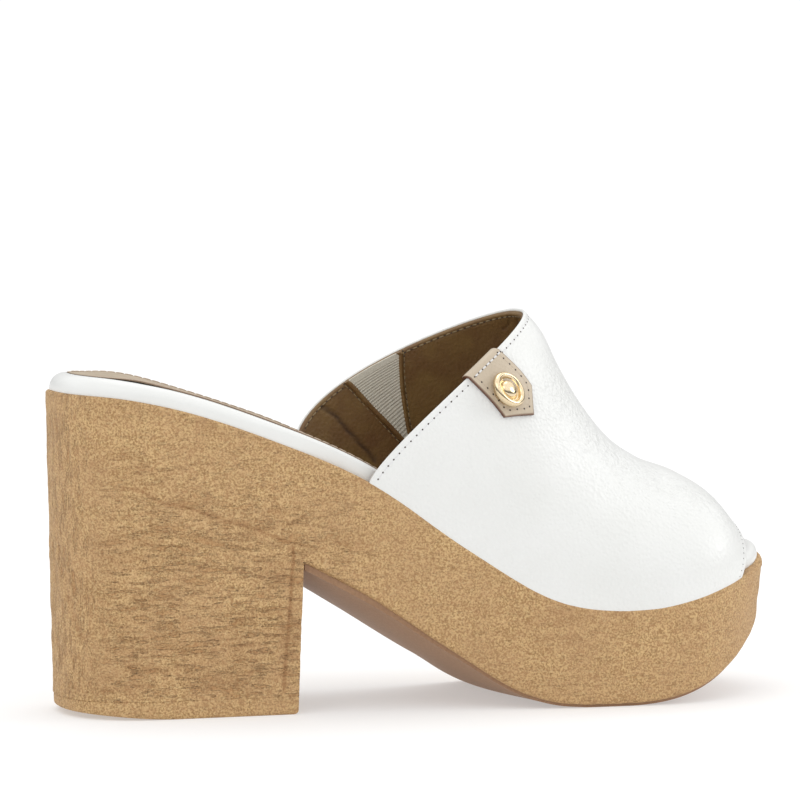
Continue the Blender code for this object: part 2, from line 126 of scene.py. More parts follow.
UPPER = {
    "columns": ("along", "outer_x", "inner_x", "top_x", "top_y", "outer_power", "inner_power", "outer_bulge",
                "inner_bulge", "outer_lean", "inner_lean"),
    "rows": (
        (0.0, 92.1, 85.6, 151.8, 2.0, 2.36, 3.0, 3.3, 3.7, 1.285, 1.73),
        (0.25, 122.0, 118.0, 164.0, 3.0, 2.3, 2.6, 2.5, 2.6, 1.12, 1.4),
        (0.5, 153.0, 151.0, 180.5, 4.0, 2.2, 2.3, 1.5, 1.5, 1.0, 1.1),
        (0.75, 184.5, 184.0, 201.0, 4.7, 2.15, 2.15, 1.5, 1.5, 1.0, 1.0),
        (1.0, 214.6, 217.0, 219.8, 5.0, 2.1, 2.1, 0.8, 1.0, 1.0, 1.0),
    ),
}
RIDGE = {
    "columns": ("x", "z"),
    "rows": (
        (151.8, 121.6), (157.5, 114.8), (162.2, 105.3), (168.3, 95.0), (178.0, 82.6),
        (189.1, 74.8), (202.8, 69.4), (213.4, 62.4), (219.8, 54.6),
    ),
}
TAB_TIP = {
    "columns": ("around", "along"),
    "rows": ((-0.646, 0.146), (-0.553, 0.201), (-0.480, 0.154)),
}
GORE_EDGE = {
    "columns": ("along", "rear", "front"),
    "rows": ((0.010, 0.792, 0.628), (0.100, 0.819, 0.720), (0.187, 0.827, 0.808)),
}
STUD_LOOK = {
    "columns": ("radius", "height"),
    "rows": (
        (0.0, 0.0), (4.6, 0.0), (5.4, 0.25), (5.85, 0.8), (6.0, 1.5), (5.8, 2.15), (5.3, 2.55), (4.7, 2.55),
        (4.25, 2.15), (4.05, 1.5), (3.8, 1.05), (3.4, 1.05), (3.1, 1.5), (2.7, 2.15), (2.0, 2.65), (1.1, 2.9),
        (0.0, 3.0),
    ),
}
# The creases of the moulded cork skin on its outer wall: their width, depth and the x and z of their points.
CORK_CREASES = {
    "columns": ("width", "depth", "points"),
    "rows": (
        (0.55, 0.42, ((15.7, 70.8), (41.8, 62.5), (58.5, 57.4), (73.7, 51.4))),
        (0.8, 0.12, ((117.3, 32.5), (135.1, 30.3), (151.4, 29.1))),
        (0.55, 0.55, ((68.2, 52.4), (66.9, 29.4), (65.9, 6.8))),
        (0.7, 0.30, ((2.1, 36.9), (5.1, 24.6))),
    ),
}
# The creases of the lining: their width, depth and the along and around of their points.
LINING_CREASES = {
    "columns": ("width", "depth", "points"),
    "rows": (
        (0.42, 0.60, ((0.011, 0.899), (0.047, 0.902), (0.09, 0.919), (0.173, 0.935))),
        (0.8, 0.22, ((0.03, 0.02), (0.09, 0.10), (0.12, 0.16))),
        (0.8, 0.20, ((0.02, 0.09), (0.06, 0.16), (0.08, 0.22))),
    ),
}
# The creases across the vamp, in the same form.
VAMP_CREASES = {
    "columns": ("width", "depth", "points"),
    "rows": (
        (1.3, 0.10, ((0.40, -0.42), (0.42, -0.30), (0.41, -0.18))),
        (1.1, 0.12, ((0.47, -0.46), (0.50, -0.34), (0.49, -0.20))),
        (1.3, 0.10, ((0.56, -0.44), (0.58, -0.30), (0.565, -0.16))),
        (1.2, 0.10, ((0.65, -0.40), (0.67, -0.28), (0.66, -0.14))),
        (1.4, 0.09, ((0.74, -0.42), (0.76, -0.26), (0.75, -0.10))),
    ),
}

# Thin pieces as they look, where the solids keep wider gaps.
LEATHER = 0.95
LINING_DEPTH = WALL + 0.02
TAB_GAP = 0.1
TAB_LEATHER = 1.1
SOCK_LEATHER = 0.5
SOCK_LIFT = 0.4
SOCK_LIFT_X = 20.0
SOCK_LIFT_WIDTH = 9.0
SOCK_PAD = 0.7
SOCK_PAD_X = 26.0
SOCK_PAD_WIDTH = 14.0
SOCK_EDGE_SHADE = (0.5, 0.7, 0.6, 0.3, 0.0)
TOE_THINNING = 0.2
THINNING_SPAN = (215.0, 231.0)
TOE_INSET = 1.6
WRAP_HEEL_ROUND = 5.0
UPPER_LIP = 0.1
UPPER_LENGTH = 125.0
UPPER_SPAN = 78.0
ROLL = 0.5
GORE_LOOK = 0.45
RIB = 0.0073
SELVEDGE = 0.015
WELT_OFF = 0.7
WELT_HALF = 0.9
WELT_RISE = 1.1
WELT_ROW = 2.0
TAB_ROW = 1.6
TAB_FOLD_ROW = 0.7
TAB_FOLD_SHIFT = (0.030, 0.016)
LINING_ROW = 1.3
COLLAR_ROW = 1.5
PEEP_ROW = 1.9
ALL = slice(None)
EDGES = ((0, ALL), (-1, ALL), (ALL, 0), (ALL, -1))

# Steps of the meshes.
HEEL_STEPS = 52
TOE_STEPS = 56
ACROSS = 18


def read(table, name, at):
    """Reads a column of a table at values of its first column, on a smooth curve through the rows."""
    rows = np.array(table["rows"], float)
    xs = rows[:, 0]
    ys = rows[:, table["columns"].index(name)]
    h = np.diff(xs)
    secant = np.diff(ys) / h
    slope = np.empty(len(xs))
    slope[1:-1] = (h[1:] * secant[:-1] + h[:-1] * secant[1:]) / (h[:-1] + h[1:])
    slope[0] = secant[0]
    slope[-1] = secant[-1]
    at = np.clip(np.asarray(at, float), xs[0], xs[-1])
    k = np.clip(np.searchsorted(xs, at) - 1, 0, len(h) - 1)
    t = (at - xs[k]) / h[k]
    near = (1 + 2 * t) * (1 - t) ** 2 * ys[k] + t * (1 - t) ** 2 * h[k] * slope[k]
    far = t * t * (3 - 2 * t) * ys[k + 1] + t * t * (t - 1) * h[k] * slope[k + 1]
    return near + far


def stations():
    """The rim's x, its end factor and the x of the heel's foot, from the heel's back to the toe's tip."""
    turn = np.linspace(0.0, math.pi / 2, HEEL_STEPS + 1)
    shift = 1 - np.cos(turn) ** (2 / HEEL_POWER)
    heel_start = HEEL_BACK + HEEL_ROUND
    share = np.concatenate([np.linspace(0, 0.8, 36)[1:], np.linspace(0.8, 1, 23)[1:]])
    toe_start = TOE_TIP - TOE_ROUND
    turn_toe = np.linspace(0.0, math.pi / 2, TOE_STEPS + 1)[1:]
    toe_x = toe_start + TOE_ROUND * np.sin(turn_toe) ** (2 / TOE_POWER)
    middle = np.linspace(BREAST_X, toe_start, 121)[1:]
    heel_x = np.concatenate([HEEL_BACK + HEEL_ROUND * shift, heel_start + (BREAST_X - heel_start) * share])
    x = np.concatenate([heel_x, middle, toe_x])
    factor = np.ones(len(x))
    factor[: HEEL_STEPS + 1] = np.sin(turn) ** (2 / HEEL_POWER)
    factor[-TOE_STEPS:] = np.abs(np.cos(turn_toe)) ** (2 / TOE_POWER)
    factor[-1] = 0.0
    foot_start = HEEL_FLOOR_BACK + HEEL_FLOOR_ROUND
    foot = np.concatenate([HEEL_FLOOR_BACK + HEEL_FLOOR_ROUND * shift,
                           foot_start + (HEEL_FLOOR_FRONT - foot_start) * share])
    return x, factor, foot


STATION_X, STATION_FACTOR, STATION_FOOT = stations()
BREAST = len(STATION_FOOT) - 1
LAST = len(STATION_X) - 1


def smooth_step(x, start, end):
    t = np.clip((x - start) / (end - start), 0, 1)
    return t * t * (3 - 2 * t)


def unit(ways):
    return ways / np.linalg.norm(ways, axis=-1, keepdims=True)


def swing(x):
    """The y of the plan's centre line."""
    return TOE_SWING * np.clip((x - SWING_START) / (TOE_TIP - SWING_START), 0, None) ** 2


def bed(x, y):
    """The height of the platform's top, which rises towards the arch of the foot."""
    across = np.clip((y - swing(x)) / read(RIM, "inner_half", x), 0, 1)
    return read(RIM, "rim_z", x) + read(RIM, "arch_rise", x) * across**2


def under(x):
    """The height of the outsole's lower edge."""
    spring = np.clip(x - FLAT_TO, 0, None) ** 2 / TOE_SPRING
    return np.where(x < FLAT_FROM, read(UNDERSIDE, "edge_z", x), spring)


def sole_z(x, t):
    """The underside of the platform; t runs from 0 at its outer edge to 1 at its inner edge."""
    hang = read(UNDERSIDE, "crown", x) * 4 * t * (1 - t) + read(UNDERSIDE, "tilt", x) * t
    return np.maximum(under(x) - hang, 0.0) + OUTSOLE + GAP


def outline(inset):
    """The outer and the inner edge of the plan at every station, moved in from the rim."""
    centre = swing(STATION_X)
    outer = centre - read(RIM, "outer_half", STATION_X) * STATION_FACTOR
    inner = centre + read(RIM, "inner_half", STATION_X) * STATION_FACTOR
    outer_edge = np.stack([STATION_X, outer], -1)
    inner_edge = np.stack([STATION_X, inner], -1)
    loop = np.concatenate([outer_edge, inner_edge[-2:0:-1]])
    tangent = np.roll(loop, -1, 0) - np.roll(loop, 1, 0)
    normal = unit(np.stack([tangent[:, 1], -tangent[:, 0]], -1))
    depth = np.broadcast_to(np.asarray(inset, float), (LAST + 1,))
    depth = np.concatenate([depth, depth[-2:0:-1]])
    loop = loop - normal * depth[:, None]
    return loop[: LAST + 1], np.concatenate([loop[:1], loop[:LAST - 1:-1]])


def heel_foot_outline():
    """The D-shaped outline of the heel on the floor, a point for each station back from the breast."""
    half = HEEL_FLOOR_HALF * STATION_FACTOR[: BREAST + 1]
    return np.stack([STATION_FOOT, -half], -1), np.stack([STATION_FOOT, half], -1)


def with_z(points, z):
    """Plan points with a height each."""
    return np.concatenate([points, np.broadcast_to(z, points.shape[:-1])[..., None]], -1)


def between(first, second, steps):
    """Rows of points from one line of points to the other."""
    first = np.asarray(first, float)
    t = np.linspace(0, 1, steps + 1).reshape((-1,) + (1,) * first.ndim)
    return first + (second - first) * t


def bed_at(points, t):
    """The platform's top under each point."""
    return bed(points[..., 0], points[..., 1])


def filled(first, second, height):
    """Rows between two edges that follow a height over the plan and meet both edges."""
    rows = between(first, second, ACROSS)
    share = np.linspace(0, 1, ACROSS + 1)[:, None]
    offset = rows[..., 2] - between(height(first, 0.0), height(second, 1.0), ACROSS)
    rows[..., 2] = height(rows, share) + offset
    return rows


def rim_at(x, side, inset):
    """A point of the platform's rim at any x ahead of the heel; side is -1 for the outer, 1 for the inner."""

    def edge(value):
        ahead = np.clip((value - TOE_TIP + TOE_ROUND) / TOE_ROUND, 0, 1)
        factor = (1 - ahead**TOE_POWER) ** (1 / TOE_POWER)
        outer = -read(RIM, "outer_half", value) * factor
        inner = read(RIM, "inner_half", value) * factor
        return swing(value) + np.where(side < 0, outer, inner)

    y = edge(x)
    slope = (edge(x + 0.05) - edge(x - 0.05)) / 0.1
    length = np.sqrt(1 + slope**2)
    return x + side * inset * slope / length, y - side * inset / length


def skin(along, around):
    """The upper's outer face: along is 0 at the collar and 1 at the toe, around -1 to 1 over the top."""
    along, around = np.broadcast_arrays(np.asarray(along, float), np.asarray(around, float))
    side = np.where(around < 0, -1.0, 1.0)

    def either(name):
        return np.where(side < 0, read(UPPER, "outer_" + name, along), read(UPPER, "inner_" + name, along))

    x0, y0 = rim_at(either("x"), side, UPPER_INSET)
    z0 = bed(x0, y0) - UPPER_DROP
    x1 = read(UPPER, "top_x", along)
    y1 = read(UPPER, "top_y", along)
    z1 = read(RIDGE, "z", x1)
    power = 2 / either("power")
    turn = (1 - np.abs(around)) * math.pi / 2
    rise = np.sin(turn) ** power
    reach = np.abs(np.cos(turn)) ** power
    x = x0 + (x1 - x0) * rise ** either("lean")
    y = y1 + (y0 - y1) * reach + side * either("bulge") * 4 * rise * (1 - rise)
    z = z0 + (z1 - z0) * rise
    return np.stack([x, y, z], -1)


def skin_normal(along, around):
    """The outward direction of the upper's face."""
    step = 2e-3
    forward = skin(np.clip(along + step, 0, 1), around) - skin(np.clip(along - step, 0, 1), around)
    sideways = skin(along, np.clip(around + step, -1, 1)) - skin(along, np.clip(around - step, -1, 1))
    return unit(np.cross(forward, sideways))


def at_depth(along, around, depth):
    """A point under the outer face by depth; a negative depth lies over it."""
    along, around = np.broadcast_arrays(np.asarray(along, float), np.asarray(around, float))
    return skin(along, around) - skin_normal(along, around) * np.asarray(depth, float)[..., None]


class Noise:
    """Smooth noise over space, the same on every run."""

    def __init__(self, seed):
        self.values = np.random.RandomState(seed).rand(32, 32, 32) * 2 - 1

    def __call__(self, points, size):
        """Noise from -1 to 1 with features of a size in millimetres, or of a size along each axis."""
        place = np.asarray(points, float) / np.asarray(size, float)
        cell = np.floor(place).astype(int)
        t = place - cell
        t = t * t * (3 - 2 * t)
        total = 0.0
        for corner in np.ndindex(2, 2, 2):
            weight = np.prod(np.where(np.array(corner) == 1, t, 1 - t), -1)
            i, j, k = np.moveaxis((cell + corner) % 32, -1, 0)
            total = total + weight * self.values[i, j, k]
        return total


def winding(points, size, width):
    """Thin winding lines through space: 1 on a line and 0 away from it."""
    return np.clip(1 - np.abs(rough(points, size)) / width, 0, 1)


def off_line(u, v, line):
    """How far places lie from a broken line in the same two sizes."""
    nearest = np.full(np.broadcast(u, v).shape, np.inf)
    for (u0, v0), (u1, v1) in zip(line[:-1], line[1:]):
        du = u1 - u0
        dv = v1 - v0
        t = np.clip(((u - u0) * du + (v - v0) * dv) / (du * du + dv * dv), 0, 1)
        nearest = np.minimum(nearest, np.hypot(u - u0 - t * du, v - v0 - t * dv))
    return nearest


def cork_relief(points, side):
    """How far the moulded cork skin is sunk at each point, and how dark its creases are painted: partly the
    cork's own colour and partly painted shade.
    """
    x = points[..., 0]
    z = points[..., 2]
    ends = 1 - smooth_step(x, *HEEL_END) + smooth_step(x, *TOE_END)
    level = winding(points, (15.0, 15.0, 2.6), 0.34) + 0.7 * winding(points + 50.0, (8.0, 8.0, 1.9), 0.3)
    steep = winding(points, (3.0, 3.0, 14.0), 0.34)
    low_heel = smooth_step(-z, -78.0, -45.0) * smooth_step(-x, -80.0, -64.0)
    patches = smooth_step(rough(points, (13.0, 13.0, 6.0)), 0.15 - 0.5 * low_heel, 0.6 - 0.5 * low_heel)
    mark = (level + (steep - level) * np.clip(ends, 0, 1)) * patches
    sunk = rough(points, (9.0, 9.0, 4.0)) * 0.12 + rough(points, (4.0, 4.0, 1.7)) * (0.08 + 0.08 * low_heel)
    sunk = sunk + (0.20 + 0.22 * low_heel) * mark
    mark = 0.30 * mark
    if side < 0:
        drift = rough(points, 7.0) * 0.8
        for width, depth, line in CORK_CREASES["rows"]:
            fold = np.exp(-(off_line(x + drift, z + drift, line) / width) ** 2)
            sunk = sunk + depth * fold
            # Deeper creases are painted darker: partly the cork's own colour and partly painted shade.
            mark = np.maximum(mark, fold * depth / 0.6)
    flush = smooth_step(z, TOP_PIECE + 0.5, TOP_PIECE + 3.5)
    return sunk * flush - 0.25 * ends, np.clip(mark, 0, 1) * flush


def placed(name, data):
    """A new object in the scene."""
    item = bpy.data.objects.new(name, data)
    bpy.context.scene.collection.objects.link(item)
    return item


class Surface:
    """Collects grids of points in millimetres, with values for their material, and makes one piece."""

    def __init__(self):
        self.points = []
        self.values = []
        self.quads = []
        self.count = 0

    def grid(self, rows, value=0.0):
        rows = np.asarray(rows, float)
        n, m = rows.shape[:2]
        index = np.arange(n * m).reshape(n, m) + self.count
        corners = (index[:-1, :-1], index[1:, :-1], index[1:, 1:], index[:-1, 1:])
        self.quads.append(np.stack(corners, -1).reshape(-1, 4))
        self.points.append(rows.reshape(-1, 3))
        self.values.append(np.broadcast_to(value, (n, m)).reshape(-1))
        self.count += n * m

    def sheet(self, low, high, steps, low_value=0.0, high_value=0.0, edge_value=0.0):
        """Two faces, closed along their four edges."""
        self.grid(low, low_value)
        self.grid(high, high_value)
        for edge in EDGES:
            self.grid(between(low[edge], high[edge], steps), edge_value)

    def piece(self, name, material, replaces, crease=60.0):
        points = np.concatenate(self.points)
        points[:, 0] -= HEEL_CENTRE
        mesh = bpy.data.meshes.new(name)
        mesh.from_pydata((points * MM).tolist(), [], np.concatenate(self.quads).tolist())
        mark = mesh.attributes.new("mark", "FLOAT", "POINT")
        mark.data.foreach_set("value", np.concatenate(self.values).astype(np.float32))
        work = bmesh.new()
        work.from_mesh(mesh)
        bmesh.ops.remove_doubles(work, verts=work.verts, dist=2e-6)
        bmesh.ops.dissolve_degenerate(work, edges=work.edges, dist=1e-7)
        bmesh.ops.recalc_face_normals(work, faces=work.faces)
        work.to_mesh(mesh)
        work.free()
        mesh.shade_smooth()
        mesh.set_sharp_from_angle(angle=math.radians(crease))
        mesh.materials.append(material)
        item = placed(name, mesh)
        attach(item, "root")
        if replaces:
            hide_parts(replaces)


class Paint:
    """A node material whose coordinates are millimetres in the frame."""

    def __init__(self, name, roughness, **sockets):
        self.material = bpy.data.materials.new(name)
        self.material.use_nodes = True
        self.tree = self.material.node_tree
        self.shader = self.tree.nodes["Principled BSDF"]
        self.shader.inputs["Roughness"].default_value = roughness
        for key, value in sockets.items():
            self.shader.inputs[key.replace("_", " ")].default_value = value
        self.place = self.node("ShaderNodeMapping", Vector=self.node("ShaderNodeTexCoord").outputs["Object"])
        self.place.inputs["Scale"].default_value = (1 / MM,) * 3

    def node(self, kind, settings=None, **inputs):
        made = self.tree.nodes.new(kind)
        for key, value in (settings or {}).items():
            setattr(made, key, value)
        for key, value in inputs.items():
            numbered = key[0] == "i" and key[1:].isdigit()
            self.feed(made.inputs[int(key[1:]) if numbered else key.replace("_", " ")], value)
        return made

    def feed(self, socket, value):
        if hasattr(value, "outputs"):
            value = value.outputs[0]
        if isinstance(value, bpy.types.NodeSocket):
            self.tree.links.new(value, socket)
        else:
            socket.default_value = value

    def stretched(self, scale):
        made = self.node("ShaderNodeMapping", Vector=self.place)
        made.inputs["Scale"].default_value = scale
        return made

    def noise(self, size, detail=2.0, rough=0.5, place=None):
        settings = {"Scale": 1 / size, "Detail": detail, "Roughness": rough}
        return self.node("ShaderNodeTexNoise", Vector=place or self.place, **settings).outputs[0]

    def cells(self, size, feature="F1", place=None, smooth=None):
        place = place or self.place
        made = self.node("ShaderNodeTexVoronoi", {"feature": feature}, Vector=place, Scale=1 / size)
        if smooth is not None:
            made.inputs["Smoothness"].default_value = smooth
        return made.outputs["Distance"]

    def ramp(self, value, low, high, to_low=0.0, to_high=1.0):
        made = self.node("ShaderNodeMapRange", i0=value, i1=low, i2=high, i3=to_low, i4=to_high)
        return made.outputs[0]

    def mix(self, share, first, second):
        return self.ramp(share, 0.0, 1.0, first, second)

    def strokes(self, size, scale, low, high):
        """Short soft strokes where a stretched noise dips: 1 in a stroke and 0 away from it."""
        return self.ramp(self.noise(size, 3.0, 0.6, self.stretched(scale)), low, high, 1.0, 0.0)

    def math(self, operation, first, second=0.0):
        return self.node("ShaderNodeMath", {"operation": operation}, i0=first, i1=second).outputs[0]

    def times(self, first, second):
        return self.math("MULTIPLY", first, second)

    def blend(self, share, first, second):
        made = self.node("ShaderNodeMix", {"data_type": "RGBA"})
        for socket, value in ((made.inputs[0], share), (made.inputs[6], first), (made.inputs[7], second)):
            self.feed(socket, (*value, 1.0) if isinstance(value, tuple) else value)
        return made.outputs[2]

    def attribute(self, name):
        made = self.node("ShaderNodeAttribute")
        made.attribute_name = name
        return made.outputs["Fac"]

    def colour(self, value):
        self.feed(self.shader.inputs["Base Color"], value)

    def bump(self, *layers):
        """Each layer is a height and how many millimetres it stands for."""
        last = None
        for height, depth in layers:
            made = self.node("ShaderNodeBump", Height=height, Distance=depth * MM, Strength=1.0)
            if last:
                self.tree.links.new(last.outputs[0], made.inputs["Normal"])
            last = made
        self.tree.links.new(last.outputs[0], self.shader.inputs["Normal"])


def cork_paint(name, lines=1.0):
    """The printed and moulded cork look: fine grains, flakes, reddish patches and short dark creases, whose
    darkness is partly the cork's own colour and partly painted shade.
    """
    paint = Paint(name, 0.72)
    grain = paint.noise(0.62, 2.0, 0.65)
    clumps = paint.noise(2.2, 3.0, 0.6)
    broad = paint.noise(19.0, 2.0)
    place = paint.node("ShaderNodeSeparateXYZ", Vector=paint.place)
    x = place.outputs[0]
    heel_end = paint.ramp(x, HEEL_END[0] - HEEL_CENTRE, HEEL_END[1] - HEEL_CENTRE, 1.0, 0.0)
    toe_end = paint.ramp(x, TOE_END[0] - HEEL_CENTRE, TOE_END[1] - HEEL_CENTRE, 0.0, 1.0)
    upright = paint.math("ADD", heel_end, toe_end)
    level = paint.math("MAXIMUM", paint.strokes(2.1, (0.26, 0.26, 1.0), 0.36, 0.48),
                       paint.strokes(1.3, (0.20, 0.20, 1.0), 0.34, 0.43))
    steep = paint.strokes(1.7, (1.0, 1.0, 0.24), 0.36, 0.48)
    stroke = paint.mix(upright, level, steep)
    heel = paint.ramp(x, 76.0 - HEEL_CENTRE, 96.0 - HEEL_CENTRE, 1.0, 0.35)
    low = paint.ramp(place.outputs[2], 50.0, 80.0, 1.0, 0.5)
    strength = paint.times(paint.math("MAXIMUM", paint.times(heel, low), upright), lines)
    stroke = paint.times(stroke, strength)
    line = paint.math("POWER", stroke, 1.6)
    specks = paint.ramp(paint.cells(1.4), 0.13, 0.27, 1.0, 0.0)
    flakes = paint.ramp(paint.cells(1.25, place=paint.stretched((0.8, 0.8, 1.15))), 0.12, 0.28, 1.0, 0.0)
    colour = paint.blend(paint.ramp(grain, 0.41, 0.59), (0.350, 0.200, 0.076), (0.645, 0.435, 0.205))
    colour = paint.blend(paint.ramp(clumps, 0.38, 0.66, 0.0, 0.34), colour, (0.46, 0.25, 0.12))
    colour = paint.blend(paint.ramp(broad, 0.38, 0.62, 0.0, 0.30), colour, (0.45, 0.265, 0.13))
    colour = paint.blend(paint.times(flakes, 0.40), colour, (0.66, 0.49, 0.26))
    colour = paint.blend(paint.times(specks, 0.45), colour, (0.24, 0.125, 0.05))
    # Strokes and marked creases are darker: partly the cork's own redder colour and partly painted shade in
    # the creases.
    colour = paint.blend(paint.times(line, 0.32), colour, (0.36, 0.16, 0.05))
    colour = paint.blend(paint.times(paint.attribute("mark"), 0.70), colour, (0.31, 0.145, 0.055))
    paint.colour(colour)
    sunk = paint.times(stroke, -1.0)
    paint.bump((clumps, 0.35), (grain, 0.34), (sunk, 0.50))
    return paint.material


def outsole_paint():
    """Brown rubber, whose edge has the colour of the cork."""
    paint = Paint("outsole_rubber_skin", 0.55)
    fine = paint.noise(0.8, 3.0, 0.6)
    colour = paint.blend(paint.ramp(fine, 0.3, 0.7), (0.285, 0.155, 0.080), (0.355, 0.205, 0.112))
    paint.colour(paint.blend(paint.attribute("mark"), colour, (0.40, 0.25, 0.115)))
    paint.bump((fine, 0.05))
    return paint.material


def white_paint(name, grain):
    """White leather; the pebbled grain is deeper where the mesh is marked."""
    paint = Paint(name, 0.36)
    pebble = paint.cells(1.15, "SMOOTH_F1", smooth=0.5)
    wrinkle = paint.noise(1.9, 3.0, 0.6, paint.stretched((0.55, 1.0, 0.8)))
    fine = paint.noise(0.4, 2.0)
    broad = paint.noise(24.0, 2.0)
    deep = paint.attribute("mark")
    strength = paint.ramp(deep, 0.0, 1.0, 0.35, 1.0)
    paint.colour(paint.blend(paint.ramp(broad, 0.3, 0.7), (0.745, 0.75, 0.73), (0.775, 0.78, 0.765)))
    creased_skin = paint.times(wrinkle, deep)
    paint.bump((creased_skin, 0.9), (paint.times(pebble, strength), grain), (fine, 0.02))
    return paint.material


def tan_paint(name, dark, light, grain=0.12, gloss=0.5, edge=(0.12, 0.045, 0.02)):
    """Tan leather, darker where the mesh is marked: the tab's cut and painted edges, and painted shade along
    the sock's edges and in the lining's creases.
    """
    paint = Paint(name, gloss)
    pebble = paint.cells(1.0, "SMOOTH_F1", smooth=0.6)
    broad = paint.noise(9.0, 3.0)
    colour = paint.blend(paint.ramp(broad, 0.3, 0.7), dark, light)
    paint.colour(paint.blend(paint.attribute("mark"), colour, edge))
    paint.bump((pebble, grain), (paint.noise(0.4, 2.0), 0.04))
    return paint.material


def elastic_paint():
    """The elastic's ribs are shaped; the weave and the shade between the ribs are painted."""
    paint = Paint("elastic_weave", 0.85)
    weave = paint.noise(0.35, 2.0)
    colour = paint.blend(paint.ramp(weave, 0.3, 0.7), (0.52, 0.49, 0.41), (0.68, 0.645, 0.56))
    paint.colour(paint.blend(paint.times(paint.attribute("mark"), 0.32), colour, (0.24, 0.215, 0.16)))
    paint.bump((weave, 0.12))
    return paint.material


def thread_paint(name, colour):
    paint = Paint(name, 0.6)
    twist = paint.noise(0.25, 2.0)
    dark = tuple(value * 0.8 for value in colour)
    paint.colour(paint.blend(paint.ramp(twist, 0.3, 0.7), dark, colour))
    paint.bump((twist, 0.06))
    return paint.material


def gold_paint():
    paint = Paint("gold_plate", 0.16, Metallic=1.0)
    fine = paint.noise(0.5, 2.0)
    paint.colour(paint.blend(paint.ramp(fine, 0.3, 0.7), (0.74, 0.59, 0.38), (0.82, 0.68, 0.46)))
    paint.feed(paint.shader.inputs["Roughness"], paint.ramp(fine, 0.3, 0.7, 0.12, 0.2))
    paint.bump((fine, 0.01))
    return paint.material


rough = Noise(11)
CORK = cork_paint("cork_look_skin")
LIFT = cork_paint("lift_rubber_skin", 0.3)
RUBBER = outsole_paint()
WHITE = white_paint("white_leather_skin", 0.40)
WRAP = white_paint("footbed_leather", 0.06)
# The sock's marked edges take the default edge colour as painted shade along the edge.
SOCK_TAN = tan_paint("sock_leather", (0.38, 0.30, 0.21), (0.46, 0.37, 0.26))
# Painted shade: the colour the lining is darkened to in its creases and along its stitch row.
LINING_CREASE_SHADE = (0.050, 0.022, 0.008)
LINING = tan_paint("lining_leather", (0.140, 0.066, 0.020), (0.195, 0.113, 0.032), edge=LINING_CREASE_SHADE)
TAB_TAN = tan_paint("tab_leather_skin", (0.50, 0.415, 0.31), (0.565, 0.475, 0.36), 0.08, 0.42)
ELASTIC = elastic_paint()
GOLD = gold_paint()
WHITE_THREAD = thread_paint("white_thread", (0.80, 0.80, 0.80))
TAN_THREAD = thread_paint("tan_thread", (0.30, 0.22, 0.12))
SOCK_THREAD = thread_paint("sock_thread", (0.52, 0.41, 0.31))
TAB_THREAD = thread_paint("tab_thread", (0.56, 0.46, 0.35))
# Dark pills at the needle holes: painted shade of the holes.
NEEDLE_HOLE_SHADE = thread_paint("needle_hole_shade", (0.07, 0.05, 0.04))


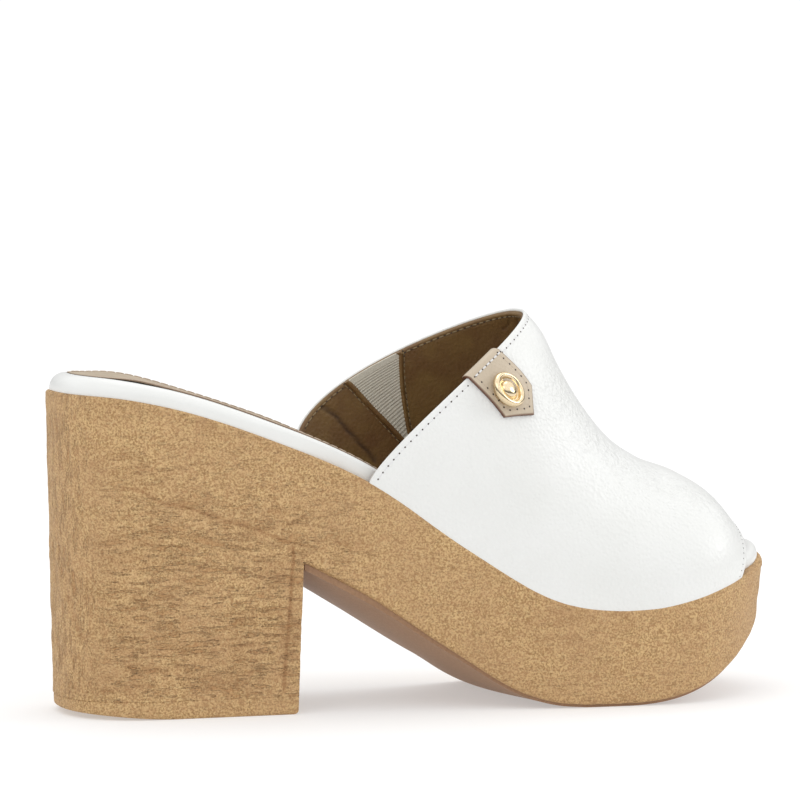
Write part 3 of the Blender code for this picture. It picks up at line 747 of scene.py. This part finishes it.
def make_platform():
    """The cork-look platform with its heel, finely stepped, with the moulded groove by the breast."""
    rims = outline(0.0)
    moved = outline(1.0)
    feet = heel_foot_outline()
    rim_round = RIM_ROUND + TOE_RIM_ROUND * smooth_step(STATION_X, *TOE_RIM_SPAN)
    rim_sink = RIM_SINK + TOE_RIM_SINK * smooth_step(STATION_X, *TOE_RIM_SPAN)
    skirt = SKIRT * smooth_step(STATION_X, *SKIRT_SPAN)
    lower = sole_z(STATION_X, 0.0) - skirt
    behind = read(RIM, "rim_z", STATION_X) - (read(RIM, "rim_z", BREAST_X) - lower[BREAST])
    split = np.where(np.arange(LAST + 1) <= BREAST, behind, lower)
    shape = Surface()
    sides = []
    for rim, inwards, foot, t in zip(rims, moved, feet, (0.0, 1.0)):
        inwards = inwards - rim
        top = bed(rim[:, 0], rim[:, 1])
        base = np.where(STATION_X < BREAST_X, split, sole_z(STATION_X, t) - skirt)
        end = rim + inwards * WALL_DRAFT
        run = np.zeros_like(rim)
        run[BREAST + 1:] = end[BREAST + 1:] - rim[BREAST + 1:]
        run[BREAST + 1:] /= (top - base)[BREAST + 1:, None]
        run[: BREAST + 1] = (foot - rim[: BREAST + 1]) / top[: BREAST + 1, None]

        def at(z, inset):
            point = with_z(rim + run * (top - z)[:, None] + inwards * inset, z)
            sunk, mark = cork_relief(point, -1.0 if t == 0.0 else 1.0)
            marks.append(mark)
            return point + with_z(inwards * sunk[:, None], 0.0)

        rows = []
        marks = []
        for turn in np.linspace(0, math.pi / 2, 9)[:-1]:
            inset = rim_round * (1 - math.sin(turn))
            sink = rim_sink * (1 - math.cos(turn))
            point = rim + inwards * inset[:, None]
            height = bed_at(point, t) - sink
            sunk, mark = cork_relief(with_z(point, height), -1.0 if t == 0.0 else 1.0)
            marks.append(mark * math.sin(turn))
            rows.append(with_z(point + inwards * (sunk * math.sin(turn))[:, None], height))
        body = between(top - rim_sink, base + EDGE_ROUND, 72)
        rows += [at(z, 0.0) for z in body]
        rounding = np.where(np.arange(LAST + 1) > BREAST, EDGE_ROUND, 0.0)
        for turn in np.linspace(0, math.pi / 2, 7)[1:]:
            z = base + EDGE_ROUND * (1 - math.sin(turn))
            rows.append(at(z, rounding[:, None] * (1 - math.cos(turn))))
        rows = np.array(rows)
        shape.grid(rows, np.array(marks))
        marks = []
        heel = between(base[: BREAST + 1], np.full(BREAST + 1, TOP_PIECE + 0.02), 84)
        columns = [at(np.concatenate([z, base[BREAST + 1:]]), 0.0)[: BREAST + 1] for z in heel]
        columns = np.array(columns)
        shape.grid(columns, np.array(marks)[:, : BREAST + 1])
        sides.append((rows, columns))
    (outer_rows, outer_heel), (inner_rows, inner_heel) = sides
    shape.grid(filled(outer_rows[0], inner_rows[0], bed_at))
    floor = between(outer_rows[-1][BREAST:], inner_rows[-1][BREAST:], ACROSS)
    t = np.linspace(0, 1, ACROSS + 1)[:, None]
    floor[1:-1, :, 2] = sole_z(STATION_X[None, BREAST:], t)[1:-1]
    shape.grid(floor)
    breast = between(outer_heel[:, BREAST], inner_heel[:, BREAST], ACROSS)
    fade = np.linspace(1, 0, outer_heel.shape[0])[None, :]
    hang = floor[:, :1, 2] - between(floor[0, 0, 2], floor[-1, 0, 2], ACROSS)[:, None]
    breast[..., 2] += hang * fade
    shape.grid(breast)
    shape.grid(between(outer_heel[-1], inner_heel[-1], ACROSS))
    shape.piece("cork_platform", CORK, "platform_sole")


def make_top_piece():
    """The lift: its back is bevelled, and its lower edge is rounded."""
    rims = outline(0.0)
    feet = heel_foot_outline()
    shape = Surface()
    rings = []
    levels = [(TOP_PIECE, 0.15), (TOP_PIECE - 0.15, 0.05), (TOP_PIECE - 0.4, 0.0), (TOP_PIECE - 0.9, 0.0)]
    levels += [(z, 0.0) for z in np.linspace(TOP_PIECE - 1.5, 1.3, 6)]
    for turn in np.linspace(0, math.pi / 2, 6)[1:]:
        levels.append((1.3 * (1 - math.sin(turn)), 1.3 * (1 - math.cos(turn))))
    middle = np.array([HEEL_CENTRE, 0.0])
    for rim, foot in zip(rims, feet):
        rim = rim[: BREAST + 1]
        top = bed(rim[:, 0], rim[:, 1])[:, None]
        rows = []
        for z, inset in levels:
            point = foot + (rim - foot) * z / top
            point = middle + (point - middle) * (1 - inset / 30.0)
            bevel = HEEL_BEVEL * (1 - smooth_step(point[:, 0], -2.0, 34.0)) * (1 - z / TOP_PIECE)
            rows.append(with_z(point, z + bevel))
        rings.append(np.array(rows))
    outer, inner = rings
    shape.grid(outer)
    shape.grid(inner)
    shape.grid(between(outer[0], inner[0], ACROSS))
    shape.grid(between(outer[-1], inner[-1], ACROSS))
    shape.grid(between(outer[:, BREAST], inner[:, BREAST], ACROSS))
    shape.piece("heel_lift", LIFT, "heel_top_piece")


def make_outsole():
    """The thin rubber sole under the waist and the forefoot."""
    moved = outline(WALL_DRAFT + EDGE_ROUND)
    start = moved[0][BREAST:], moved[1][BREAST:]
    width = np.linalg.norm(start[1] - start[0], axis=-1)
    margin = np.minimum(OUTSOLE_INSET / np.maximum(width, 0.1), 0.2)
    t = np.linspace(0, 1, ACROSS + 1)[:, None]
    t = margin + (1 - 2 * margin) * t
    plan = start[0] + (start[1] - start[0]) * t[..., None]
    top = with_z(plan, sole_z(STATION_X[None, BREAST:], t) - 0.02)
    top[:, 0] += (top[:, 1] - top[:, 0]) * 0.02
    back = top[:, -2].mean(0) - top[0, -1]
    top[:, -1] += back * OUTSOLE_INSET / np.linalg.norm(back)
    low = top.copy()
    low[..., 2] -= OUTSOLE + GAP - 0.02
    shape = Surface()
    shape.grid(top)
    shape.grid(low)
    for edge in EDGES[:3]:
        shape.grid(between(top[edge], low[edge], 3))
    shape.piece("waist_and_forefoot_outsole", RUBBER, "outsole")


def footbed_inset(x):
    """How far the footbed's edge stands in from the rim: more where the upper comes down beside it."""
    beside = UPPER_INSET + WALL + GAP + 0.1
    inset = FOOTBED_HEEL_INSET + (beside - FOOTBED_HEEL_INSET) * smooth_step(x, 66.0, 84.0)
    return inset + (TOE_INSET - beside) * smooth_step(x, 219.0, 226.0)


def bed_top(points, t):
    """The footbed's upper face, a little hollow across and flat at the toe."""
    cup = FOOTBED_CUP * STATION_FACTOR * (1 - smooth_step(STATION_X, 202.0, 218.0))
    return bed_at(points, t) + (GAP + FOOTBED) * thinned(points[..., 0]) - cup * 4 * t * (1 - t)


def thinned(x):
    """The share of its thickness that the footbed keeps, less at the tip of the toe."""
    return 1 - TOE_THINNING * smooth_step(x, *THINNING_SPAN)


def footbed_round(x):
    """The radius along the footbed's upper edge, which is larger round the heel and at the tip of the toe."""
    heel = (FOOTBED_HEEL_ROUND - FOOTBED_ROUND) * (1 - smooth_step(x, 45.0, 80.0))
    back = (WRAP_HEEL_ROUND - FOOTBED_HEEL_ROUND) * (1 - smooth_step(x, 8.0, 30.0))
    return FOOTBED_ROUND + heel + back + (FOOTBED_TOE_ROUND - FOOTBED_ROUND) * smooth_step(x, 212.0, 224.0)


def make_footbed():
    """The board wrapped in white leather, drawn down to the rounded rim of the cork."""
    inset = footbed_inset(STATION_X)
    radius = footbed_round(STATION_X) * thinned(STATION_X)
    turn = np.arcsin(1 - np.minimum(inset / RIM_ROUND, 1.0))
    drop = RIM_SINK * (1 - np.cos(turn))
    top = (GAP + FOOTBED) * thinned(STATION_X)
    levels = [(inset + 0.4, -drop - 0.15), (inset + 0.05, -drop - 0.05), (inset, 0.25 - drop)]
    levels += [(inset, 0.25 - drop + (top - radius - 0.25 + drop) * share) for share in (0.25, 0.5, 0.75)]
    for turn in np.linspace(0, math.pi / 2, 11):
        levels.append((inset + radius * (1 - np.cos(turn)), top - radius * (1 - np.sin(turn))))
    bands = []
    for k in (0, 1):
        rows = []
        for depth, rise in levels:
            point = outline(depth)[k]
            rows.append(with_z(point, bed_at(point, k) + rise))
        bands.append(np.array(rows))
    outer, inner = bands
    shape = Surface()
    shape.grid(outer)
    shape.grid(inner)
    shape.grid(filled(outer[0], inner[0], bed_at))
    shape.grid(filled(outer[-1], inner[-1], bed_top))
    shape.piece("wrapped_footbed", WRAP, "footbed")


def sock_inset(depth):
    rounding = footbed_round(STATION_X)
    return footbed_inset(STATION_X) + np.maximum(rounding + 0.5, FOOTBED_ROUND + SOCK_MARGIN) + depth


def sock_line(depth, rise):
    """Rows across the sock, moved in by a depth; its outer edge stands off a little near the heel's back."""
    edge = outline(sock_inset(depth))
    base = between(edge[0], edge[1], ACROSS)
    t = np.linspace(0, 1, ACROSS + 1)[:, None]
    lifted = SOCK_LIFT * np.exp(-(((STATION_X - SOCK_LIFT_X) / SOCK_LIFT_WIDTH) ** 2)) * (1 - t) ** 3
    pad = SOCK_PAD * np.exp(-(((STATION_X - SOCK_PAD_X) / SOCK_PAD_WIDTH) ** 2)) * smooth_step(t, 0.0, 0.7)
    sunk = 1 - 0.65 * (1 - smooth_step(STATION_X, 6.0, 22.0))
    return with_z(base, bed_top(base, t) + (0.05 + rise) * sunk + lifted + pad)


def make_sock():
    layers = []
    for depth, rise in ((0.1, 0.0), (0.0, 0.12), (0.0, 0.3), (0.12, 0.44), (0.4, SOCK_LEATHER)):
        layers.append(sock_line(depth, rise))
    shape = Surface()
    shape.grid(layers[0])
    shape.grid(layers[-1])
    for k in (0, -1):
        shape.grid(np.array([layer[k] for layer in layers]), np.array(SOCK_EDGE_SHADE)[:, None])
    shape.piece("sock_leather_sheet", SOCK_TAN, "sock_lining")


def spread(dense_to, dense_steps, steps):
    """Values from 0 to 1 with the first and last stretch stepped finely."""
    first = np.linspace(0, dense_to, dense_steps + 1)[:-1]
    return np.concatenate([first, np.linspace(dense_to, 1 - dense_to, steps), 1 - first[::-1]])


def collar_distance(along, around):
    """About how far a place lies from the collar's edge, in millimetres."""
    length = np.linalg.norm(skin(0.04, around) - skin(0.0, around), axis=-1) / 0.04
    return along * length


def toe_distance(along, around):
    """About how far a place lies from the edge at the toe, in millimetres."""
    length = np.linalg.norm(skin(0.96, around) - skin(1.0, around), axis=-1) / 0.04
    return (1 - along) * length


def trough(distance, place, width):
    return np.exp(-(((distance - place) / width) ** 2))


def creased(along, around, table):
    """How deep the creases of a table are at places of the upper."""
    total = 0.0
    for width, depth, line in table["rows"]:
        scaled = [(a * UPPER_LENGTH, b * UPPER_SPAN) for a, b in line]
        away = off_line(along * UPPER_LENGTH, around * UPPER_SPAN, scaled)
        total = total + depth * np.exp(-(away / width) ** 2)
    return total


def upper_relief(along, around):
    """How far the leather stands out from the plain face: the turned edges, sunk stitch lines and creases."""
    back = collar_distance(along, around)
    ahead = toe_distance(along, around)
    height = -0.07 * trough(back, COLLAR_ROW, 0.5) + 0.05 * smooth_step(-back, -1.2, -0.4)
    height += -0.06 * trough(ahead, PEEP_ROW, 0.5) + 0.05 * smooth_step(-ahead, -1.6, -0.6)
    inside = smooth_step(back, 2, 12) * smooth_step(ahead, 1, 8)
    height += inside * rough(skin(along, around), (26.0, 19.0, 22.0)) * 0.09
    return height - inside * creased(along, around, VAMP_CREASES)


def make_upper():
    """The white leather: one wall with rolled edges, drawn down to the cork."""
    along = spread(0.06, 24, 164)[:, None]
    around = np.linspace(-1, 1, 219)[None, :]
    outer = at_depth(along, around, -upper_relief(along, around))
    for k in (0, -1):
        outer[:, k] = at_depth(along[:, 0], around[0, k], 0.0)
    inner = at_depth(along, around, LEATHER)
    grain = np.exp(-(((around + 0.31) / 0.22) ** 2)) * smooth_step(along, 0.1, 0.25)
    shape = Surface()
    shape.grid(outer, 0.85 * grain)
    shape.grid(inner)
    for row, nearby in ((0, 1), (-1, -2)):
        away = unit(outer[row] - outer[nearby])
        centre = (outer[row] + inner[row]) / 2
        arm = (outer[row] - inner[row]) / 2
        ring = []
        for turn in np.linspace(0, math.pi, 9):
            ring.append(centre + arm * math.cos(turn) + away * ROLL * math.sin(turn))
        shape.grid(np.array(ring))
    lip = np.array([0.0, 0.0, UPPER_LIP])
    for k in (0, -1):
        shape.grid(np.array([outer[:, k], outer[:, k] - lip, inner[:, k] - lip, inner[:, k]]))
    shape.piece("white_leather_upper", WHITE, "upper")


def past_collar(around, depth, reach):
    """A point at a depth that lies past the collar's edge by a reach."""
    return at_depth(0.0, around, depth) + unit(skin(0.0, around) - skin(0.01, around)) * reach


def make_lining():
    """The tan lining inside the white leather, turned up to the collar's edge, with its creases."""
    along = spread(0.3, 90, 60)[:134, None]
    along = along / along[-1] * 0.995
    around = np.linspace(-0.995, 0.995, 241)[None, :]
    outer = at_depth(along, around, LEATHER + 0.02)
    back = collar_distance(along, around)
    sunk = creased(along, around, LINING_CREASES) + 0.14 * trough(back, LINING_ROW, 0.4)
    face = skin(along, around)
    soft = rough(face, (8.0, 6.0, 8.0)) * 0.13 + rough(face, (3.0, 3.0, 3.0)) * 0.03
    inner = at_depth(along, around, LINING_DEPTH - sunk + soft * smooth_step(back, 2.5, 8.0))
    outer[0] = past_collar(around[0], LEATHER + 0.02, 0.0)
    inner[0] = past_collar(around[0], LINING_DEPTH - 0.3, -0.2)
    shape = Surface()
    # The lining is painted darker in its creases and along its stitch row's trough: painted shade.
    shape.sheet(outer, inner, 2, high_value=np.clip(sunk * 1.5, 0, 0.85))
    shape.piece("tan_lining", LINING, None)


def span_at(along, around):
    """Millimetres for each unit of around at a place."""
    return np.linalg.norm(skin(along, around + 0.005) - skin(along, around - 0.005), axis=-1) / 0.01


def length_at(along, around):
    """Millimetres for each unit of along at a place."""
    return np.linalg.norm(skin(along + 0.01, around) - skin(along, around), axis=-1) / 0.01


def make_gore():
    """The elastic, a smooth selvedge along the collar and fine ribs below it."""
    start = 0.001
    end = GORE_EDGE["rows"][-1][0] + 0.004
    along = np.linspace(start, end, 330)[:, None]
    share = np.linspace(0, 1, 36)[None, :]
    rear = read(GORE_EDGE, "rear", along) + 0.01
    front = read(GORE_EDGE, "front", along) - 0.01
    around = rear + (front - rear) * share
    wave = np.cos(2 * math.pi * (along - start) / RIB)
    ribbed = smooth_step(along, SELVEDGE, SELVEDGE + 0.004)
    height = GORE_LOOK + 0.07 * wave * ribbed
    low = at_depth(along, around, LINING_DEPTH - 0.4)
    high = at_depth(along, around, LINING_DEPTH + height)
    shape = Surface()
    shape.sheet(low, high, 2, high_value=(0.5 - 0.5 * wave) * ribbed)
    shape.piece("ribbed_elastic", ELASTIC, "elastic_gore")


def make_welt(name, column, way):
    """A rolled fold of the lining along one edge of the elastic, with its row of stitches."""
    along = np.linspace(0.0, GORE_EDGE["rows"][-1][0] + 0.006, 120)[:, None]
    middle = read(GORE_EDGE, column, along)
    across = np.linspace(-1, 1, 17)[None, :]
    around = middle + way * (WELT_OFF + WELT_HALF * across) / span_at(along, middle)
    waves = 1 + 0.16 * rough(skin(along, around), (2.6, 2.6, 2.6))
    high = at_depth(along, around, LINING_DEPTH - 0.15 + WELT_RISE * waves * np.sqrt(1 - across**2))
    low = at_depth(along, around, LINING_DEPTH - 0.3)
    shape = Surface()
    shape.sheet(low, high, 1)
    shape.piece(name, LINING, None)
    row = middle + way * WELT_ROW / span_at(along, middle)
    add_row(name + "_stitches", along[2:-2, 0], row[2:-2, 0], LINING_DEPTH - 0.02, 2.1, TAN_THREAD,
            (1.35, 0.45, 0.3), (0.5, 0.4, 0.2))


def pill(place, way, out, size):
    """A small rounded bar of a length, width and height, sunk to its middle at its place."""
    length, width, height = size
    aside = np.cross(out, way)
    turn = np.linspace(0, math.pi, 9)[:, None, None]
    round_it = np.linspace(0, 2 * math.pi, 9)[None, :, None]
    ends = np.sign(np.cos(turn)) * np.abs(np.cos(turn)) ** 0.7
    ring = np.sin(turn) ** 0.7
    body = aside * np.cos(round_it) * width + out * np.sin(round_it) * height
    return place + (way * ends * length + body * ring) / 2


def add_pills(name, places, ways, outs, size, material):
    """Small rounded bars at many places, joined into one piece."""
    shape = Surface()
    for place, way, out in zip(places, ways, outs):
        shape.grid(pill(place, way, out, size))
    shape.piece(name, material, None)


def paced(path, normals, pitch):
    """Even steps along a path: the places, and the directions along the path and out of the face."""
    step = np.linalg.norm(np.diff(path, axis=0), axis=1)
    s = np.concatenate([[0.0], np.cumsum(step)])
    at = np.linspace(0, s[-1], max(round(s[-1] / pitch), 2) + 1)
    place = np.stack([np.interp(at, s, path[:, k]) for k in range(3)], -1)
    out = np.stack([np.interp(at, s, normals[:, k]) for k in range(3)], -1)
    way = np.gradient(place, axis=0)
    return place, unit(way), unit(out)


def add_row(name, along, around, depth, pitch, thread, thread_size, hole_size):
    """A row of stitches on the upper, each thread running from one needle hole to the next, with a dark pill
    of painted shade at each hole.
    """
    place, way, out = paced(at_depth(along, around, depth), skin_normal(along, around), pitch)
    middle = (place[1:] + place[:-1]) / 2
    add_pills(name, middle, way[:-1], out[:-1], thread_size, thread)
    # A dark pill at each needle hole stands for the hole's shade: painted shade.
    add_pills(name + "_holes", place, way, out, hole_size, NEEDLE_HOLE_SHADE)


def make_stitches():
    """The rows along the collar, along the peep toe and inside the lining's upper edge."""
    before = TAB_TIP["rows"][0][0] + TAB_FOLD_SHIFT[0] - 0.02
    beyond = TAB_TIP["rows"][-1][0] + TAB_FOLD_SHIFT[1] + 0.008
    for name, first, last in (("collar_row_outer", -0.985, before), ("collar_row_inner", beyond, 0.985)):
        around = np.linspace(first, last, 200)
        along = COLLAR_ROW / length_at(0.0, around)
        add_row(name, along, around, 0.05, 2.5, WHITE_THREAD,
                (1.9, 0.4, 0.12), (0.55, 0.5, 0.16))
    around = np.linspace(-0.97, 0.97, 300)
    along = 1 - PEEP_ROW / (np.linalg.norm(skin(0.98, around) - skin(1.0, around), axis=-1) / 0.02)
    add_row("peep_row", along, around, 0.04, 2.0, WHITE_THREAD,
            (1.4, 0.35, 0.12), (0.4, 0.4, 0.14))
    rear, front = GORE_EDGE["rows"][0][1:]
    rows = (("lining_row_front", -0.98, front - 0.02), ("lining_row_rear", rear + 0.03, 0.97))
    for name, first, last in rows:
        around = np.linspace(first, last, 200)
        along = LINING_ROW / length_at(0.0, around)
        add_row(name, along, around, LINING_DEPTH - 0.08, 2.3, TAN_THREAD,
                (1.5, 0.5, 0.35), (0.55, 0.45, 0.25))


def make_sock_stitches():
    """The thick stitches that show as bumps along the edges of the sock."""
    line = sock_line(1.1, SOCK_LEATHER)
    up = np.broadcast_to([0.0, 0.0, 1.0], line[0].shape)
    shown = (STATION_X > 3.0) & (STATION_X < 225.0)
    for name, k in (("sock_row_outer", 0), ("sock_row_inner", -1)):
        place, way, out = paced(line[k][shown], up[shown], 3.0)
        out = out - way * np.sum(out * way, -1, keepdims=True)
        add_pills(name, place, way, out, (2.6, 0.9, 0.45), SOCK_THREAD)


def tab_face(depth):
    """The rows of one face of the folded tab: the outer leg, the fold over the collar and the inner leg."""
    tips = np.array(TAB_TIP["rows"])
    tip_front = np.linspace(tips[1, 0], tips[2, 0], 26)[1:]
    tip_around = np.concatenate([np.linspace(tips[0, 0], tips[1, 0], 34), tip_front])
    tip = np.interp(tip_around, tips[:, 0], tips[:, 1])
    around = tip_around + np.interp(tip_around, (tips[0, 0], tips[2, 0]), TAB_FOLD_SHIFT)
    rows = []
    for part in np.linspace(1, 0, 60):
        rows.append(at_depth(tip * part, tip_around * part + around * (1 - part), -depth))
    edge = skin(0.0, around)
    away = unit(edge - skin(0.01, around))
    out = skin_normal(0.0, around)
    for turn in np.radians(np.linspace(0, 180, 19)[1:-1]):
        round_over = out * math.cos(turn) * (WALL / 2 + depth) + away * math.sin(turn) * (ROLL + depth)
        rows.append(edge - out * WALL / 2 + round_over)
    rows += [at_depth(along, around, WALL + depth) for along in np.linspace(0, TAB_INNER_LEG, 9)]
    return np.array(rows)


def moved_in(corners, distance):
    """An open outline moved to its left by a distance, with its corners kept sharp."""
    way = unit(np.diff(corners, axis=0))
    aside = np.stack([-way[:, 1], way[:, 0]], -1) * distance
    lines = corners[:-1] + aside
    moved = [lines[0]]
    for k in range(1, len(way)):
        share = np.linalg.solve(np.column_stack([way[k - 1], -way[k]]), lines[k] - lines[k - 1])[0]
        moved.append(lines[k - 1] + way[k - 1] * share)
    moved.append(corners[-1] + aside[-1])
    return np.array(moved)


def make_tab():
    """The tan leather tab folded over the collar, with painted edges and its stitches."""
    low = tab_face(TAB_GAP)
    high = tab_face(TAB_GAP + TAB_LEATHER)
    soft = tab_face(TAB_GAP + TAB_LEATHER * 0.8)
    for edge in EDGES:
        high[edge] = soft[edge]
    shape = Surface()
    painted = np.zeros(high.shape[:2])
    painted[(0, -1), :] = 1.0
    painted[:, (0, -1)] = 1.0
    painted[(1, -2), 1:-1] = 0.6
    painted[1:-1, (1, -2)] = 0.6
    shape.sheet(low, high, 3, 1.0, painted, 1.0)
    shape.piece("folded_tab", TAB_TAN, "tab", 30.0)
    (first, low_rear), (point, tip), (last, low_front) = TAB_TIP["rows"]
    scale = np.array([float(length_at(0.05, point)), float(span_at(0.08, point))])
    fold_first = first + TAB_FOLD_SHIFT[0]
    fold_last = last + TAB_FOLD_SHIFT[1]
    corners = [(0.004, fold_first), (low_rear, first), (tip, point), (low_front, last), (0.004, fold_last)]
    line = moved_in(np.array(corners) * scale, TAB_ROW) / scale
    part = np.linspace(0, len(line) - 1, 240)
    along = np.interp(part, np.arange(len(line)), line[:, 0])
    around = np.interp(part, np.arange(len(line)), line[:, 1])
    depth = -TAB_GAP - TAB_LEATHER
    add_row("tab_row", along, around, depth, 2.7, TAB_THREAD,
            (2.0, 0.4, 0.10), (0.6, 0.55, 0.2))
    around = np.linspace(fold_first + 0.012, fold_last - 0.006, 40)
    along = TAB_FOLD_ROW / length_at(0.0, around)
    add_row("tab_fold_row", along, around, depth, 2.0, WHITE_THREAD,
            (1.4, 0.6, 0.45), (0.6, 0.5, 0.2))


def make_stud():
    """A plain stud: a rounded ring, a groove and a dome, turned to the toe, on a foot sunk into the tab."""
    centre = at_depth(STUD_ALONG, STUD_AROUND, 0.5 - TAB_GAP - TAB_LEATHER) + np.array(STUD_SHIFT)
    flush = skin_normal(STUD_ALONG, STUD_AROUND)
    out = unit(flush + np.array(STUD_TILT))
    aside = skin(STUD_ALONG + 0.01, STUD_AROUND) - skin(STUD_ALONG, STUD_AROUND)
    aside = unit(aside - out * (aside @ out))
    across = np.cross(out, aside)
    turns = np.linspace(0, 2 * math.pi, 129)
    profile = np.array(STUD_LOOK["rows"])
    step = np.concatenate([[0], np.cumsum(np.linalg.norm(np.diff(profile, axis=0), axis=1))])
    curve = {"columns": ("s", "radius", "height"), "rows": np.column_stack([step, profile])}
    s = np.linspace(step[1], step[-1], 100)
    flat = np.cos(turns)[:, None] * aside + np.sin(turns)[:, None] * across
    foot = centre - flush * STUD_FOOT
    rings = [foot + 0.0 * flat, foot + flat * STUD_LOOK["rows"][1][0] * STUD_SCALE]
    for radius, height in zip(read(curve, "radius", s), read(curve, "height", s)):
        rings.append(centre + flat * max(radius, 0.0) * STUD_SCALE + out * max(height, 0.0))
    shape = Surface()
    shape.grid(np.array(rings))
    shape.piece("gold_stud", GOLD, "stud")


make_platform()
make_top_piece()
make_outsole()
make_footbed()
make_sock()
make_upper()
make_lining()
make_gore()
make_welt("rear_welt", "rear", 1)
make_welt("front_welt", "front", -1)
make_tab()
make_stud()
make_stitches()
make_sock_stitches()

STUDIO = 1.06
FLOOR_SHADE = 0.60
FLOOR_GLOW = 0.38
CAMERA_AZIMUTH = math.radians(17.0)
CAMERA_ELEVATION = math.radians(6.0)
CAMERA_DISTANCE = 1.4666
CAMERA_LENS = 210.4
CAMERA_TARGET = Vector((0.0718, 0.0, 0.047))
TARGET_PIXEL = (390.05, 549.54)
FOCAL_PIXELS = 4675.7


def make_camera():
    """The photograph's camera; its aim puts the target on the target's pixel."""
    back = Vector((-math.sin(CAMERA_AZIMUTH) * math.cos(CAMERA_ELEVATION),
                   -math.cos(CAMERA_AZIMUTH) * math.cos(CAMERA_ELEVATION), math.sin(CAMERA_ELEVATION)))
    right = Vector((math.cos(CAMERA_AZIMUTH), -math.sin(CAMERA_AZIMUTH), 0.0))
    up = back.cross(right)
    data = bpy.data.cameras.new("view")
    data.lens = CAMERA_LENS
    data.sensor_width = 36.0
    item = placed("view", data)
    item.location = CAMERA_TARGET + back * CAMERA_DISTANCE
    aside = (400 - TARGET_PIXEL[0]) / FOCAL_PIXELS
    above = (TARGET_PIXEL[1] - 400) / FOCAL_PIXELS
    aim = -back + right * aside + up * above
    item.rotation_mode = "QUATERNION"
    item.rotation_quaternion = aim.to_track_quat("-Z", "Y")
    bpy.context.scene.camera = item


def make_light(name, place, size, power):
    data = bpy.data.lights.new(name, "AREA")
    data.shape = "DISK"
    data.size = size
    data.energy = power
    item = placed(name, data)
    item.location = place
    item.rotation_mode = "QUATERNION"
    item.rotation_quaternion = (Vector((0.07, 0, 0.05)) - Vector(place)).to_track_quat("-Z", "Y")


def make_stage():
    """A pale floor that glows a little, so that the shadows on it stay light, in a white studio."""
    mesh = bpy.data.meshes.new("floor")
    reach = 30.0
    corners = [(-reach, -reach, 0), (reach, -reach, 0), (reach, reach, 0), (-reach, reach, 0)]
    mesh.from_pydata(corners, [], [(0, 1, 2, 3)])
    material = bpy.data.materials.new("floor_white")
    material.use_nodes = True
    shader = material.node_tree.nodes["Principled BSDF"]
    looks = {"Base Color": (FLOOR_SHADE, FLOOR_SHADE, FLOOR_SHADE, 1), "Roughness": 0.9,
             "Specular IOR Level": 0.1, "Emission Color": (1.0, 1.0, 1.0, 1), "Emission Strength": FLOOR_GLOW}
    for key, value in looks.items():
        shader.inputs[key].default_value = value
    mesh.materials.append(material)
    item = placed("floor", mesh)
    world = bpy.data.worlds.new("studio")
    bpy.context.scene.world = world
    world.use_nodes = True
    tree = world.node_tree
    background = tree.nodes["Background"]
    background.inputs["Color"].default_value = (1.0, 1.0, 1.0, 1.0)
    place = tree.nodes.new("ShaderNodeTexCoord")
    split = tree.nodes.new("ShaderNodeSeparateXYZ")
    tree.links.new(place.outputs["Generated"], split.inputs[0])
    panels = tree.nodes.new("ShaderNodeMapRange")
    for k, value in enumerate((0.25, 0.55, 0.18, 1.25), 1):
        panels.inputs[k].default_value = value
    tree.links.new(split.outputs[2], panels.inputs[0])
    ray = tree.nodes.new("ShaderNodeLightPath")
    strength = tree.nodes.new("ShaderNodeMapRange")
    strength.inputs[3].default_value = STUDIO
    tree.links.new(ray.outputs["Is Glossy Ray"], strength.inputs[0])
    tree.links.new(panels.outputs[0], strength.inputs[4])
    tree.links.new(strength.outputs[0], background.inputs["Strength"])
    bpy.context.scene.view_settings.view_transform = "Standard"


make_camera()
make_stage()
make_light("key", (-1.0, -0.9, 1.7), 1.0, 2.4)
make_light("side", (1.8, -0.4, 0.9), 0.8, 5.5)
make_light("top", (0.3, 0.6, 1.7), 1.2, 4.0)
